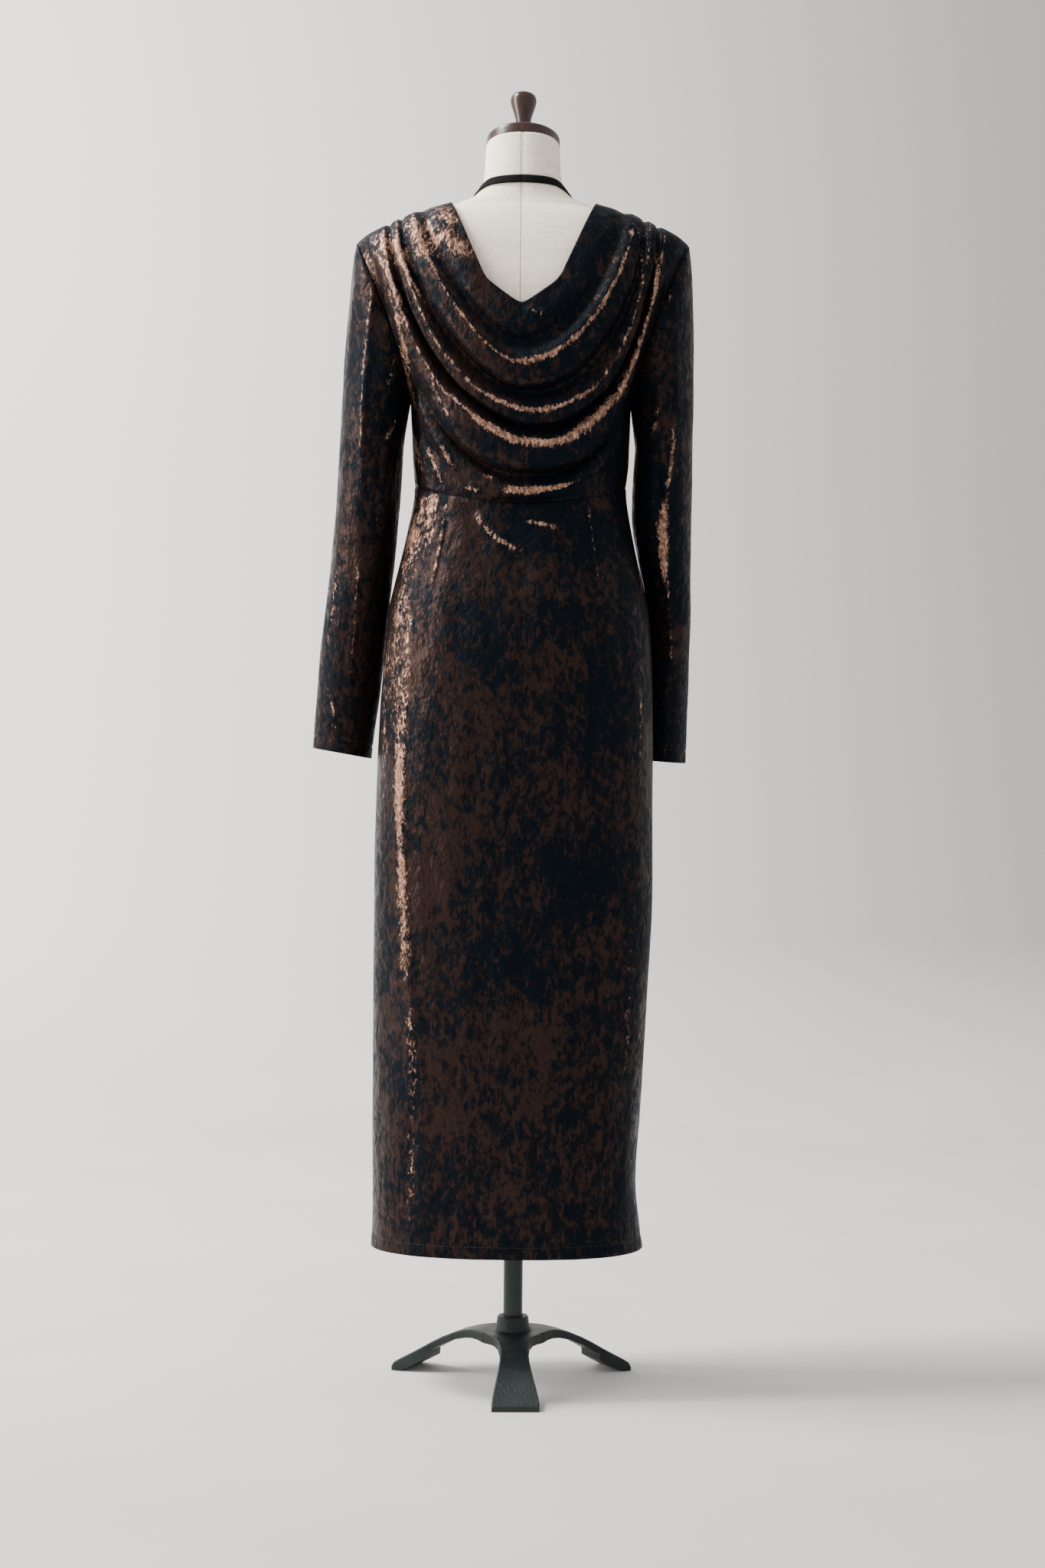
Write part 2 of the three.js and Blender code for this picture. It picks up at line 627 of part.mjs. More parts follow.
// A ring of the dress form, from its left side round its back
function formRing(half, back, front, y, z, tip, plate) {
  return Array.from({ length: ringColumns }, (unused, j) => {
    const turn = (2 * Math.PI * j) / ringColumns;
    const face = Math.sin(turn) >= 0 ? "back" : "front";
    const reach = (value) => Math.sign(value) * Math.pow(Math.abs(value), 2 / sectionPower[face]);
    const depth = (face === "back" ? back : front) * reach(Math.sin(turn));
    const x = THREE.MathUtils.clamp(half * reach(Math.cos(turn)), -plate, plate);
    return new THREE.Vector3(x, y + depth * Math.cos(tip), z + depth * Math.sin(tip));
  });
}

function bodyFormRing(z) {
  const at = Math.min(z + formLift, neckPointZ);
  const high = THREE.MathUtils.smoothstep(z, armholeMidZ, shoulderTipZ);
  const inset = THREE.MathUtils.lerp(formInset.chest, formInset.shoulder, high);
  const half = Math.min(sectionAt(at, "left"), sectionAt(at, "right")) - inset;
  const plate = z > underarmZ ? armholeX(z, 1) - armPlateInset : Infinity;
  return formRing(half, sectionAt(at, "back") - inset, sectionAt(at, "front") - inset, 0, z, 0, plate);
}

const formRings = [
  formBottomZ,
  ...bodySections.map(byHeight).filter((z) => z > formBottomZ + 10 && z < neckPointZ),
]
  .map(bodyFormRing)
  .concat(
    neckRings.map((ring) => {
      const tip = THREE.MathUtils.degToRad(ring.tip);
      return formRing(ring.half, ring.depth, ring.depth, ring.y, ring.z, tip, Infinity);
    }),
  );

function toSolid(geometry) {
  const bare = geometry.clone();
  bare.deleteAttribute("normal");
  bare.deleteAttribute("uv");
  const merged = mergeVertices(bare, 1e-4);
  return new wasm.Manifold(
    new wasm.Mesh({
      numProp: 3,
      vertProperties: merged.attributes.position.array,
      triVerts: new Uint32Array(merged.index.array),
    }),
  );
}

function toGeometry(solid) {
  const mesh = solid.getMesh();
  const geometry = new THREE.BufferGeometry();
  geometry.setAttribute("position", new THREE.BufferAttribute(mesh.vertProperties, 3));
  geometry.setIndex(new THREE.BufferAttribute(mesh.triVerts, 1));
  geometry.computeVertexNormals();
  return geometry;
}

function postBore(bottom, top) {
  const radius = postRadius + clearance;
  const bore = new THREE.CylinderGeometry(radius, radius, top - bottom, 28).rotateX(Math.PI / 2);
  return toSolid(bore.translate(0, 0, (top + bottom) / 2));
}

// The form stands on the post's head, which reaches up into a socket in its underside.
function dressForm() {
  const socket = postBore(formBottomZ - 1, formBottomZ + socketDepth + clearance);
  return toGeometry(toSolid(ringSolid(formRings)).subtract(socket));
}

function turned(outline, segments) {
  const points = outline.map(({ r, h }) => new THREE.Vector2(r, h));
  return new THREE.LatheGeometry(points, segments).rotateX(Math.PI / 2);
}

// One arched leg towards +Y, as sections with bevelled upper edges
function leg() {
  const rings = legStations.map(({ reach, half, top, under }) =>
    [
      [-half, under],
      [half, under],
      [half, top - legBevel],
      [half - legBevel, top],
      [legBevel - half, top],
      [-half, top - legBevel],
    ].map(([x, z]) => new THREE.Vector3(x, reach, z)),
  );
  return ringSolid(rings.reverse());
}

function standBase() {
  let solid = toSolid(turned(hubOutline, 28));
  for (let i = 0; i < legCount; i += 1) {
    solid = solid.add(toSolid(leg().rotateZ(baseTurn + (2 * Math.PI * i) / legCount)));
  }
  return toGeometry(solid.subtract(postBore(postBottomZ - clearance, 100)));
}

function post() {
  const top = formBottomZ + socketDepth;
  const geometry = new THREE.CylinderGeometry(postRadius, postRadius, top - postBottomZ, 28);
  return geometry.rotateX(Math.PI / 2).translate(0, 0, (top + postBottomZ) / 2);
}

// Where a level ray from the neck's middle leaves the form, turned from the back towards the wearer's left
function formSurface(form, turn, z) {
  const angle = THREE.MathUtils.degToRad(turn);
  const start = new THREE.Vector3(0, Math.min(0, along(neckRings, z, byHeight, "y")), z);
  const ray = new THREE.Raycaster(start, new THREE.Vector3(Math.sin(angle), Math.cos(angle), 0));
  return ray.intersectObject(form)[0].point;
}

function neckStrap(formGeometry) {
  const form = new THREE.Mesh(formGeometry, new THREE.MeshBasicMaterial({ side: THREE.DoubleSide }));
  const last = strapRoute[strapRoute.length - 1].turn;
  const route = Array.from({ length: 2 * strapRows + 1 }, (unused, i) => {
    const turn = (1 - i / strapRows) * last;
    return { turn, z: along(strapRoute, Math.abs(turn), byTurn, "z") };
  });
  const middle = route.map(({ turn, z }) => formSurface(form, turn, z));
  const outward = route.map(({ turn, z }) => {
    const up = formSurface(form, turn, z + 4).sub(formSurface(form, turn, z - 4));
    return formSurface(form, turn - 4, z).sub(formSurface(form, turn + 4, z)).cross(up).normalize();
  });
  const rows = [-0.5, 0, 0.5].map((half) =>
    middle.map((p, i) => {
      const run = middle[Math.min(i + 1, 2 * strapRows)].clone().sub(middle[Math.max(i - 1, 0)]);
      const across = outward[i].clone().cross(run).normalize();
      return p.clone().addScaledVector(across, half * strapWidth).addScaledVector(outward[i], strapLift);
    }),
  );
  return clothWall(rows, gridNormals(rows, false), strapThickness, false);
}

const group = new THREE.Group();

function addNode(name, geometry, material) {
  const mesh = new THREE.Mesh(geometry, material);
  mesh.name = name;
  group.add(mesh);
  return mesh;
}

// Sets a turned piece upright on the tipped top of the neck.
function placeOnNeck(mesh, height) {
  const top = neckRings[neckRings.length - 1];
  const tip = THREE.MathUtils.degToRad(top.tip);
  mesh.rotation.x = tip;
  mesh.position.set(0, top.y - height * Math.sin(tip), top.z + height * Math.cos(tip));
}

addNode("bodice_back", drapedBack(), materials.velvet);
addNode("bodice_front", plainFront(), materials.velvet);
addNode("skirt_back", skirtPanel(1), materials.velvet);
addNode("skirt_front", skirtPanel(-1), materials.velvet);
addNode("sleeve_left", sleeve(1), materials.velvet);
addNode("sleeve_right", sleeve(-1), materials.velvet);
const form = addNode("dress_form", dressForm(), materials.linen);
addNode("neck_strap", neckStrap(form.geometry), materials.ribbon);
placeOnNeck(addNode("neck_cap", turned(capOutline, 32), materials.wood), clearance);
const knobLift = capThickness + capCrown + 2 * clearance;
placeOnNeck(addNode("cap_knob", turned(knobOutline, 24), materials.wood), knobLift);
addNode("post", post(), materials.iron);
addNode("stand_base", standBase(), materials.iron);

// The part's origin is on the floor, under the middle of its box.
const box = new THREE.Box3().setFromObject(group, true);
group.position.set(-(box.min.x + box.max.x) / 2, -(box.min.y + box.max.y) / 2, -box.min.z);

export default group;
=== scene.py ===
# The draped velvet dress on its dress form: fine cloth shells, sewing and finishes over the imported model.
# Sizes in the tables are millimetres, measured from the axis of the post, and the floor is z = 0.
# The back of the dress faces +Y, and the wearer's left is +X.
# A side is 1 on the wearer's left and -1 on the right. Facing is 1 for the back and -1 for the front.
import math

import bpy
import numpy as np
from mathutils import Matrix, Vector
from mathutils.bvhtree import BVHTree


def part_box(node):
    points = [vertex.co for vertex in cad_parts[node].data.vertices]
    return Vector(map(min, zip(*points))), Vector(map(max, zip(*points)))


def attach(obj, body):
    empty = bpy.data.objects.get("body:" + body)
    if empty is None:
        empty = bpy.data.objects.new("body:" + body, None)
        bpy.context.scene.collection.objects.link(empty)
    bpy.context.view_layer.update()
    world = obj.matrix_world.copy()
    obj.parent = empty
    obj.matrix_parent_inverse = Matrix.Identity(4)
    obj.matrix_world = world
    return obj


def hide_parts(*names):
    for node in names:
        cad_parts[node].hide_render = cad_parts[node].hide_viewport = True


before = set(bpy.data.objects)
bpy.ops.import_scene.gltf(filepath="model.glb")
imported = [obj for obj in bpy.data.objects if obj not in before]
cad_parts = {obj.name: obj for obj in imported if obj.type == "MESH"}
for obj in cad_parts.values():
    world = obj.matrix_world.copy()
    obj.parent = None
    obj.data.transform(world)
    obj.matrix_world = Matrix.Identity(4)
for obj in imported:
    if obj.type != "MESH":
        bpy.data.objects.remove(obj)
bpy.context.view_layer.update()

post_low, post_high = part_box("post")
AXIS = np.array([(post_low.x + post_high.x) / 2, (post_low.y + post_high.y) / 2, 0.0])


def to_metres(points):
    return np.asarray(points, float) / 1000 + AXIS


# Tables
class Rows:
    """A table with named columns, read between its rows on curves that never overshoot them."""

    def __init__(self, names, *rows, place=None):
        values = np.array(rows, float).T
        self.columns = dict(zip(names.split(), values))
        self.places = self.columns[place] if place else np.arange(len(rows), dtype=float)
        self.tangents = {name: self.slopes(column) for name, column in self.columns.items()}

    def slopes(self, column):
        slope = np.diff(column) / np.diff(self.places)
        before, after = slope[:-1], slope[1:]
        same = before * after > 0
        middle = np.where(same, 2 * before * after / np.where(same, before + after, 1), 0)
        return np.concatenate([slope[:1], middle, slope[-1:]])

    def at(self, where, name):
        where = np.clip(where, self.places[0], self.places[-1])
        i = np.clip(np.searchsorted(self.places, where) - 1, 0, len(self.places) - 2)
        column, tangent = self.columns[name], self.tangents[name]
        span = self.places[i + 1] - self.places[i]
        t = (where - self.places[i]) / span
        t2, t3 = t * t, t * t * t
        return (
            (2 * t3 - 3 * t2 + 1) * column[i]
            + (t3 - 2 * t2 + t) * span * tangent[i]
            + (3 * t2 - 2 * t3) * column[i + 1]
            + (t3 - t2) * span * tangent[i + 1]
        )

    def each(self):
        names = list(self.columns)
        return [dict(zip(names, values)) for values in zip(*self.columns.values())]


CLOTH = 1.4
SEAM_GAP = 0.4
SEAM_ROLL = 0.9
SEAM_ROLL_WIDTH = 4
HEM_DEPTH = 15
HEM_PINCH_WIDTH = 2
SKIRT_PINCH = 0.7
CUFF_PINCH = 0.6
SECTION_POWER = {1: 2.4, -1: 2.25}
NECK_POINT_Z = 1397
SHOULDER_TIP_Z = 1349
UNDERARM_Z = 1165
WAIST_Z = 1062.6
ARMHOLE_LEAN = 1.3
ARMHOLE_OUT = 0.94
ARMHOLE_DOWN = 0.34
WAIST_JOIN = 30

body = Rows(
    "z left right back front",
    (163.7, 169.3, 153.2, 109, 108),
    (196, 167.7, 148.4, 108, 107),
    (240, 168, 144.4, 107, 106),
    (327, 168.8, 149.1, 107, 106),
    (459, 169, 156.1, 108, 106),
    (590, 169.3, 161.4, 110, 108),
    (721, 166.8, 160.4, 115, 111),
    (789, 164.2, 160, 119, 114),
    (852, 159.8, 158.2, 119, 115),
    (915, 154.8, 154, 113, 112),
    (947, 147.8, 147.3, 106, 108),
    (980, 139, 138.9, 98, 104),
    (1012, 132, 132, 91, 100),
    (1034, 127.6, 128.4, 86, 98),
    (1062.6, 125.6, 126.3, 83, 98),
    (1089, 127.2, 128.8, 84, 106),
    (1111, 128.3, 129.5, 87, 112),
    (1143, 129.8, 130.5, 92, 122),
    (1165, 131, 131, 94, 128),
    (1180, 140, 140, 96, 130),
    (1200, 152, 152, 98, 130),
    (1230, 174, 174, 98, 122),
    (1257, 189, 189, 96, 112),
    (1300, 206, 206, 88, 95),
    (1330, 204, 204, 79, 80),
    (1349, 196, 198, 73, 70),
    (1367, 163, 166, 66, 62),
    (1383, 128.5, 129.5, 58, 54),
    (1397, 85, 88, 48, 44),
    place="z",
)

# The draped back's hanging lines, from the neckline down to the waist. A whole phase is the crest of a fold.
drape_rows = Rows(
    "edge lowZ lowX bendLeft bendRight vee level phase stand swell tuck steps",
    (0, 1264, 0, 1.4, 1.5, 1, 0, 0, 5, 5, 0.5, 7),
    (0.3, 1200, 2, 1.37, 1.7, 0, 0, 1, 3, 16, 2.6, 7),
    (0.46, 1147, -14, 1.65, 1.85, 0, 0, 2, 2, 17, 2.6, 6),
    (0.62, 1112, -25, 1.8, 1.78, 0, 0.04, 3, 2, 22, 2.6, 4),
    (1, 1097, -20, 2.4, 2.6, 0, 0, 3.2, 2, 21, 0, 3),
    (1.3, 1077, -14, 2.4, 2.7, 0, 0.05, 3.5, 2, 18, 0, 4),
    (1.7, 1056, -6, 1.8, 2.4, 0, 0.1, 3.9, 2, 14, 0, 3),
    (2, 1046, -4, 1.75, 2.3, 0, 0.1, 4.1, 1, 10, 0, 3),
    (3, 1036.5, 0, 1.6, 1.6, 0, 0, 4.4, 0, 0, 0, 0),
)
DRAPE_SHARPNESS = -0.85
DRAPE_OVERHANG = 0.35
FOLD_MARGIN = 16
# Strength of the painted highlight along the swag crests.
PAINTED_SWAG_HIGHLIGHT = 1.15
LOW_POINT_ROUNDING = 0.06
POINT_SLOPE = 0.45
NECK_SLOPE = 1.46
TURN_ROUNDING = 0.05

front_rows = Rows(
    "edge lowZ lowX bendLeft bendRight vee level steps",
    (0, 1296, 0, 2.4, 2.4, 0, 0, 2),
    (0.6, 1262, 0, 2.4, 2.4, 0, 0.3, 2),
    (1, 1234, 0, 2.3, 2.3, 0, 0.9, 5),
    (1.5, 1188, 0, 2.2, 2.2, 0, 0.9, 5),
    (2, 1130, 0, 2, 2, 0, 0.9, 4),
    (3, 1058, 0, 1.8, 1.8, 0, 0, 0),
)
DIP_FADE_LENGTH = 190

SLEEVE_TOP_Z = 1110
ARMHOLE_MID_Z = 1257
SLEEVE_FULLNESS = 1.04
ARMHOLE_LAP = 0.3
SLEEVE_RADIUS = 46
CAP_PACKING = 1.3
sleeve_outer = Rows(
    "z left right",
    (1110, 215, 205),
    (1187, 211.5, 205),
    (1250, 207.5, 204.5),
    (1300, 203, 203),
    (1330, 199.5, 201),
    (1349, 196.4, 198.6),
    place="z",
)
sleeve_rings = {
    1: Rows(
        "z x y halfX halfY",
        (1110, 177, 0, 38, 58),
        (1034, 181.5, -6, 37.5, 54),
        (983, 186, -12, 38, 51),
        (940, 191, -18, 38, 48),
        (896, 196, -24, 38, 46),
        (852, 201, -30, 38.5, 44),
        (808, 205, -36, 38, 41),
        (765, 210, -42, 36, 38),
        (745, 212, -44, 35, 37),
    ),
    -1: Rows(
        "z x y halfX halfY",
        (1110, 171, 0, 34, 60),
        (1034, 169, -10, 36, 56),
        (983, 173.5, -21, 32, 53),
        (940, 178.2, -33, 28, 50),
        (896, 180.8, -46, 26, 48),
        (852, 180.5, -58, 26.2, 46),
        (808, 179, -68, 27, 43),
        (765, 177.5, -77, 28, 40),
        (739, 176.5, -81, 28, 38),
    ),
}
CUFF_SLANT = {1: 6, -1: -2}
CUFF_SLANT_ROWS = 2.5

neck_rings = Rows(
    "z half depth y tip",
    (1397, 78, 43, 0.5, 0),
    (1402.5, 65, 42.5, -1.5, 0),
    (1409, 55.5, 42.5, -3.7, 0.8),
    (1416, 50.5, 43, -6, 2),
    (1424, 47.3, 43.5, -8.3, 4),
    (1437, 45.5, 44, -11.7, 8.5),
    (1450, 44.8, 44, -14.9, 12),
    (1469, 44, 44, -19.8, 14.7),
)
FORM_BOTTOM_Z = 772
FORM_SHOULDER_Z = 1340
FORM_SEAM_X = 1.5
FORM_SEAM_DEPTH = 0.5
FORM_SEAM_WIDTH = 1.1
FORM_INSET = (5, 3.5)
FORM_LIFT = 3.2
ARM_PLATE_INSET = 7
# Too far out to cut anything off.
NO_PLATE = 1e6

strap_route = Rows(
    "turn z",
    (0, 1421.5),
    (45, 1420),
    (72, 1414.5),
    (90, 1408.5),
    (108, 1401),
    (121, 1389),
    (130, 1368),
    (135.5, 1345),
    (139, 1320.3),
    place="turn",
)
STRAP_WIDTH = 10
STRAP_THICKNESS = 1.2
STRAP_LIFT = 2.4
STRAP_EDGE_DROP = 0.5


def crease_table(*rows):
    """Soft ridges (height above 0) and troughs (below 0), each bending from its start over its middle to
    its end, at places across (x) and up (z)."""
    return Rows("x0 z0 x1 z1 x2 z2 width height", *rows)


def painted_crest_highlight(*rows):
    """Painted highlight along a swag's crest: how wide and strong it is, and how far above the crest it
    lies.
    """
    return Rows("x width strength above", *rows)


bodice_back_creases = crease_table(
    (-3, 1259, -18, 1251, -34, 1255, 4, 2.2),
    (168, 1346, 152, 1290, 128, 1236, 5, 2.6),
    (158, 1350, 138, 1292, 108, 1240, 4, -2.2),
    (150, 1354, 130, 1300, 96, 1250, 4, 2.0),
    (128, 1362, 112, 1318, 84, 1272, 4, 1.8),
    (176, 1340, 168, 1290, 150, 1240, 4, -1.8),
    (180, 1335, 170, 1270, 152, 1205, 4.5, 2.2),
    (151, 1276, 134, 1187, 112, 1066, 5, 3.0),
    (146, 1230, 128, 1150, 104, 1084, 5, -2.0),
    (130, 1187, 103, 1120, 78, 1086, 4, 2.4),
    (123, 1119, 113, 1087, 113, 1055, 4, 2.2),
    (102, 1080, 92, 1064, 84, 1049, 4, 2.2),
    (97, 1112, 79, 1080, 64, 1052, 4, 2.4),
    (60, 1060, 47, 1052, 36, 1050, 4, 2.6),
    (36, 1066, 28, 1062, 20, 1060, 4, 1.8),
    (-120, 1350, -128, 1310, -122, 1262, 4, 1.8),
    (-150, 1352, -154, 1300, -146, 1240, 5, 2.4),
    (-164, 1344, -168, 1300, -160, 1250, 4, -1.6),
    (-126, 1180, -118, 1130, -116, 1080, 6, 1.2),
    (-60, 1092, -78, 1078, -96, 1070, 6, 1.4),
)
skirt_back_creases = crease_table(
    (52, 1028, 26, 999, -25, 969, 4.5, 3.2),
    (46, 1012, 24, 992, -8, 972, 4, -1.6),
    (-2, 1012, -26, 1010, -60, 1003, 4, 2.2),
    (84, 1046, 70, 1010, 60, 980, 8, 1.0),
    (120, 1050, 128, 1000, 140, 930, 8, 1.8),
    (110, 1040, 118, 990, 128, 930, 5, -1.0),
    (136, 940, 141, 860, 138, 740, 9, 2.6),
    (137, 760, 133, 610, 128, 470, 8, 2.8),
    (128, 560, 120, 420, 121, 300, 7, 1.8),
    (112, 480, 108, 380, 108, 240, 6, 1.4),
    (158, 560, 154, 420, 156, 220, 9, -1.6),
    (-138, 900, -142, 760, -138, 600, 10, 1.2),
    (-150, 560, -144, 420, -136, 260, 9, 1.4),
    (-120, 700, -118, 520, -112, 330, 14, -1.2),
    (-136, 340, -130, 270, -134, 200, 7, 1.6),
)
skirt_darts = crease_table(
    (80, 1043, 90, 978, 102, 914, 1.7, -2.2),
    (-74, 1056, -82, 990, -96, 911, 1.7, -2.2),
)
skirt_front_creases = crease_table(
    (96, 1050, 60, 1024, 10, 1006, 6, 1.8),
    (-98, 1052, -66, 1030, -20, 1018, 6, 1.4),
    (-128, 1040, -138, 960, -146, 860, 8, 1.8),
    (-140, 880, -142, 740, -136, 600, 9, 2.2),
    (-134, 620, -126, 460, -124, 300, 8, 1.8),
    (130, 900, 138, 740, 132, 560, 10, 1.6),
    (128, 600, 118, 440, 116, 260, 10, 1.6),
    (40, 760, 34, 560, 40, 330, 18, 1.2),
    (-50, 640, -46, 460, -52, 260, 16, 1.2),
)
bodice_front_creases = crease_table(
    (120, 1180, 96, 1150, 60, 1136, 7, 2.0),
    (126, 1156, 104, 1120, 72, 1096, 6, 1.8),
    (-118, 1178, -92, 1146, -54, 1130, 7, 1.8),
    (-126, 1150, -108, 1118, -80, 1098, 6, 1.6),
    (168, 1330, 150, 1260, 128, 1200, 6, 1.8),
    (-166, 1334, -150, 1266, -130, 1204, 6, 2.0),
    (116, 1092, 98, 1078, 70, 1070, 5, 1.4),
    (-114, 1094, -92, 1080, -60, 1074, 5, 1.4),
)
# A sleeve's creases run over turn (degrees round from its outer side over its back) and height.
sleeve_creases = {
    1: crease_table(
        (60, 1330, 74, 1180, 84, 1000, 5, 2.4),
        (84, 1020, 92, 900, 96, 780, 5, 1.8),
        (40, 1020, 44, 940, 40, 860, 6, 1.4),
        (118, 1120, 112, 1060, 100, 1000, 6, -1.6),
        (140, 1160, 126, 1110, 108, 1080, 6, 2.0),
        (150, 1100, 136, 1050, 118, 1030, 6, 1.6),
        (96, 1320, 92, 1270, 92, 1210, 5, 1.4),
        (30, 1310, 34, 1250, 40, 1190, 6, 1.4),
        (250, 1180, 262, 1090, 270, 1000, 8, 2.0),
        (230, 1100, 250, 1040, 262, 990, 7, -1.6),
        (280, 980, 286, 900, 280, 820, 8, 1.8),
        (210, 1060, 226, 1000, 240, 960, 6, 1.8),
        (330, 1260, 322, 1120, 326, 980, 9, 1.6),
    ),
    -1: crease_table(
        (74, 1150, 88, 1040, 96, 950, 7, 2.6),
        (110, 1110, 102, 1060, 90, 1030, 6, -1.6),
        (96, 980, 90, 900, 84, 820, 7, 1.6),
        (140, 1160, 124, 1120, 104, 1096, 6, 1.8),
        (60, 1320, 66, 1220, 70, 1120, 6, 1.8),
        (96, 1320, 90, 1260, 88, 1200, 5, 1.4),
        (150, 1030, 152, 930, 148, 760, 6, 3.0),
        (250, 1180, 262, 1090, 270, 1000, 8, 2.0),
        (280, 980, 284, 900, 280, 820, 8, 1.8),
        (330, 1240, 320, 1120, 324, 960, 9, 1.8),
        (215, 1060, 232, 1010, 244, 960, 6, 1.8),
    ),
}

# Painted highlights, laid where the pile would catch the light: lines in the same columns, with a strength
# in place of the height.
bodice_back_painted_highlights = crease_table(
    (172, 1356, 152, 1332, 118, 1296, 17, 0.72),
    (134, 1380, 118, 1344, 94, 1302, 14, 0.78),
    (106, 1394, 90, 1374, 74, 1350, 12, 0.72),
    (98, 1358, 76, 1334, 50, 1312, 12, 0.9),
    (186, 1338, 180, 1306, 172, 1270, 8, 0.66),
    (160, 1300, 146, 1262, 132, 1226, 7, 0.55),
    (112, 1372, 106, 1352, 98, 1330, 3, 0.9),
    (150, 1354, 132, 1300, 100, 1250, 2.6, 0.75),
    (176, 1340, 150, 1290, 124, 1240, 2.4, 0.7),
    (142, 1240, 132, 1180, 114, 1130, 4.5, 0.75),
    (146, 1262, 136, 1220, 124, 1180, 2.5, 0.8),
    (108, 1187, 92, 1150, 74, 1120, 2.2, 0.75),
    (128, 1130, 120, 1095, 112, 1064, 3.2, 0.8),
    (112, 1112, 100, 1080, 88, 1052, 2.6, 0.85),
    (96, 1106, 86, 1090, 74, 1072, 5, 0.8),
    (-118, 1356, -134, 1352, -150, 1344, 5, 0.55),
    (-154, 1340, -156, 1300, -150, 1262, 2.6, 0.8),
    (-136, 1346, -140, 1310, -132, 1276, 2.6, 0.55),
    (-184, 1332, -190, 1322, -192, 1310, 5, 0.5),
    (-8, 1258, -22, 1250, -38, 1256, 2.2, 0.9),
    (66, 1056, 54, 1050, 40, 1049, 3.2, 1.0),
    (46, 1066, 36, 1064, 26, 1058, 3.2, 0.85),
)
bodice_front_painted_highlights = crease_table(
    (120, 1180, 96, 1150, 60, 1136, 4, 0.5),
    (126, 1156, 104, 1120, 72, 1096, 3, 0.6),
    (-118, 1178, -92, 1146, -54, 1130, 3, 0.5),
    (168, 1340, 156, 1290, 140, 1230, 6, 0.7),
    (140, 1366, 130, 1330, 120, 1290, 8, 0.6),
    (-166, 1334, -150, 1266, -130, 1204, 3, 0.6),
    (126, 1140, 122, 1100, 118, 1064, 4, 0.7),
    (60, 1240, 66, 1190, 56, 1150, 12, 0.45),
)
skirt_back_painted_highlights = crease_table(
    (108, 1056, 118, 1020, 128, 974, 12, 0.68),
    (120, 1016, 132, 960, 140, 880, 11, 0.6),
    (98, 1054, 102, 1020, 110, 970, 6, 0.7),
    (136, 940, 143, 860, 139, 770, 7, 0.6),
    (124, 930, 130, 850, 128, 760, 6, 0.55),
    (138, 820, 137, 720, 134, 620, 8, 0.74),
    (137, 760, 135, 660, 130, 560, 4, 0.8),
    (134, 640, 129, 540, 124, 450, 8, 0.76),
    (126, 470, 118, 390, 121, 280, 6, 0.62),
    (120, 330, 118, 250, 122, 190, 5, 0.5),
    (152, 900, 156, 780, 154, 620, 6, 0.5),
    (52, 1028, 30, 996, -20, 970, 3.4, 0.95),
    (-2, 1013, -26, 1010, -58, 1004, 2.8, 0.8),
    (84, 1052, 93, 985, 104, 920, 1.6, 0.85),
    (-78, 1050, -86, 985, -98, 915, 1.4, 0.62),
    (-134, 1010, -142, 960, -148, 900, 2.4, 0.72),
    (-140, 880, -143, 760, -139, 640, 2.6, 0.42),
    (-134, 560, -130, 430, -128, 300, 3, 0.4),
)
skirt_front_painted_highlights = crease_table(
    (120, 1046, 132, 980, 141, 900, 7, 0.8),
    (140, 900, 146, 760, 140, 600, 6, 0.7),
    (138, 620, 128, 460, 122, 300, 5, 0.6),
    (96, 1050, 60, 1024, 10, 1006, 3, 0.7),
    (-128, 1040, -138, 960, -146, 860, 3, 0.6),
    (-140, 880, -142, 740, -136, 600, 3, 0.5),
)
# The painted highlight along each swag's crest, by the crest's phase in drape_rows.
painted_swag_highlights = {
    1: painted_crest_highlight(
        (-150, 2, 0.3, 0),
        (-122, 2.2, 0.55, 0),
        (-112, 3.6, 0.95, 0),
        (-80, 3.4, 1.0, 0),
        (-40, 4.2, 1.05, 0),
        (-10, 4.5, 1.0, 0),
        (14, 3.2, 0.95, 0),
        (28, 2.6, 0.8, 0),
        (60, 2.4, 0.72, 0),
        (100, 2.4, 0.66, 0),
        (140, 2.4, 0.6, 0),
    ),
    2: painted_crest_highlight(
        (-150, 2, 0.5, 0),
        (-130, 2.6, 0.6, 0),
        (-112, 3, 0.5, 0),
        (-96, 3, 0.35, 0),
        (-76, 3.6, 0.75, 0),
        (-40, 3.8, 0.9, 0),
        (-8, 4.4, 0.95, 0),
        (40, 3.6, 0.85, 0),
        (70, 3, 0.6, 0),
        (110, 3, 0.66, 0),
        (150, 2.6, 0.6, 0),
    ),
    3: painted_crest_highlight(
        (-160, 3, 0.5, 0),
        (-148, 4.5, 0.8, 0),
        (-120, 7.5, 0.9, 2),
        (-96, 8, 0.98, 2),
        (-72, 11, 1.0, 4),
        (-50, 9, 0.9, 2),
        (-34, 6, 1.05, 1),
        (-12, 8, 0.85, 2),
        (8, 6, 1.0, 0),
        (30, 8, 0.95, 2),
        (46, 6, 0.8, 1),
        (70, 3.4, 0.7, 0),
        (110, 3, 0.6, 0),
        (150, 2.4, 0.55, 0),
    ),
    4: painted_crest_highlight(
        (-100, 3, 0, 0),
        (-62, 3, 0.4, 0),
        (-50, 4.5, 1.0, 0),
        (-10, 6.5, 1.1, 0),
        (14, 6, 1.0, 0),
        (30, 4, 0.2, 0),
        (60, 3, 0, 0),
    ),
}
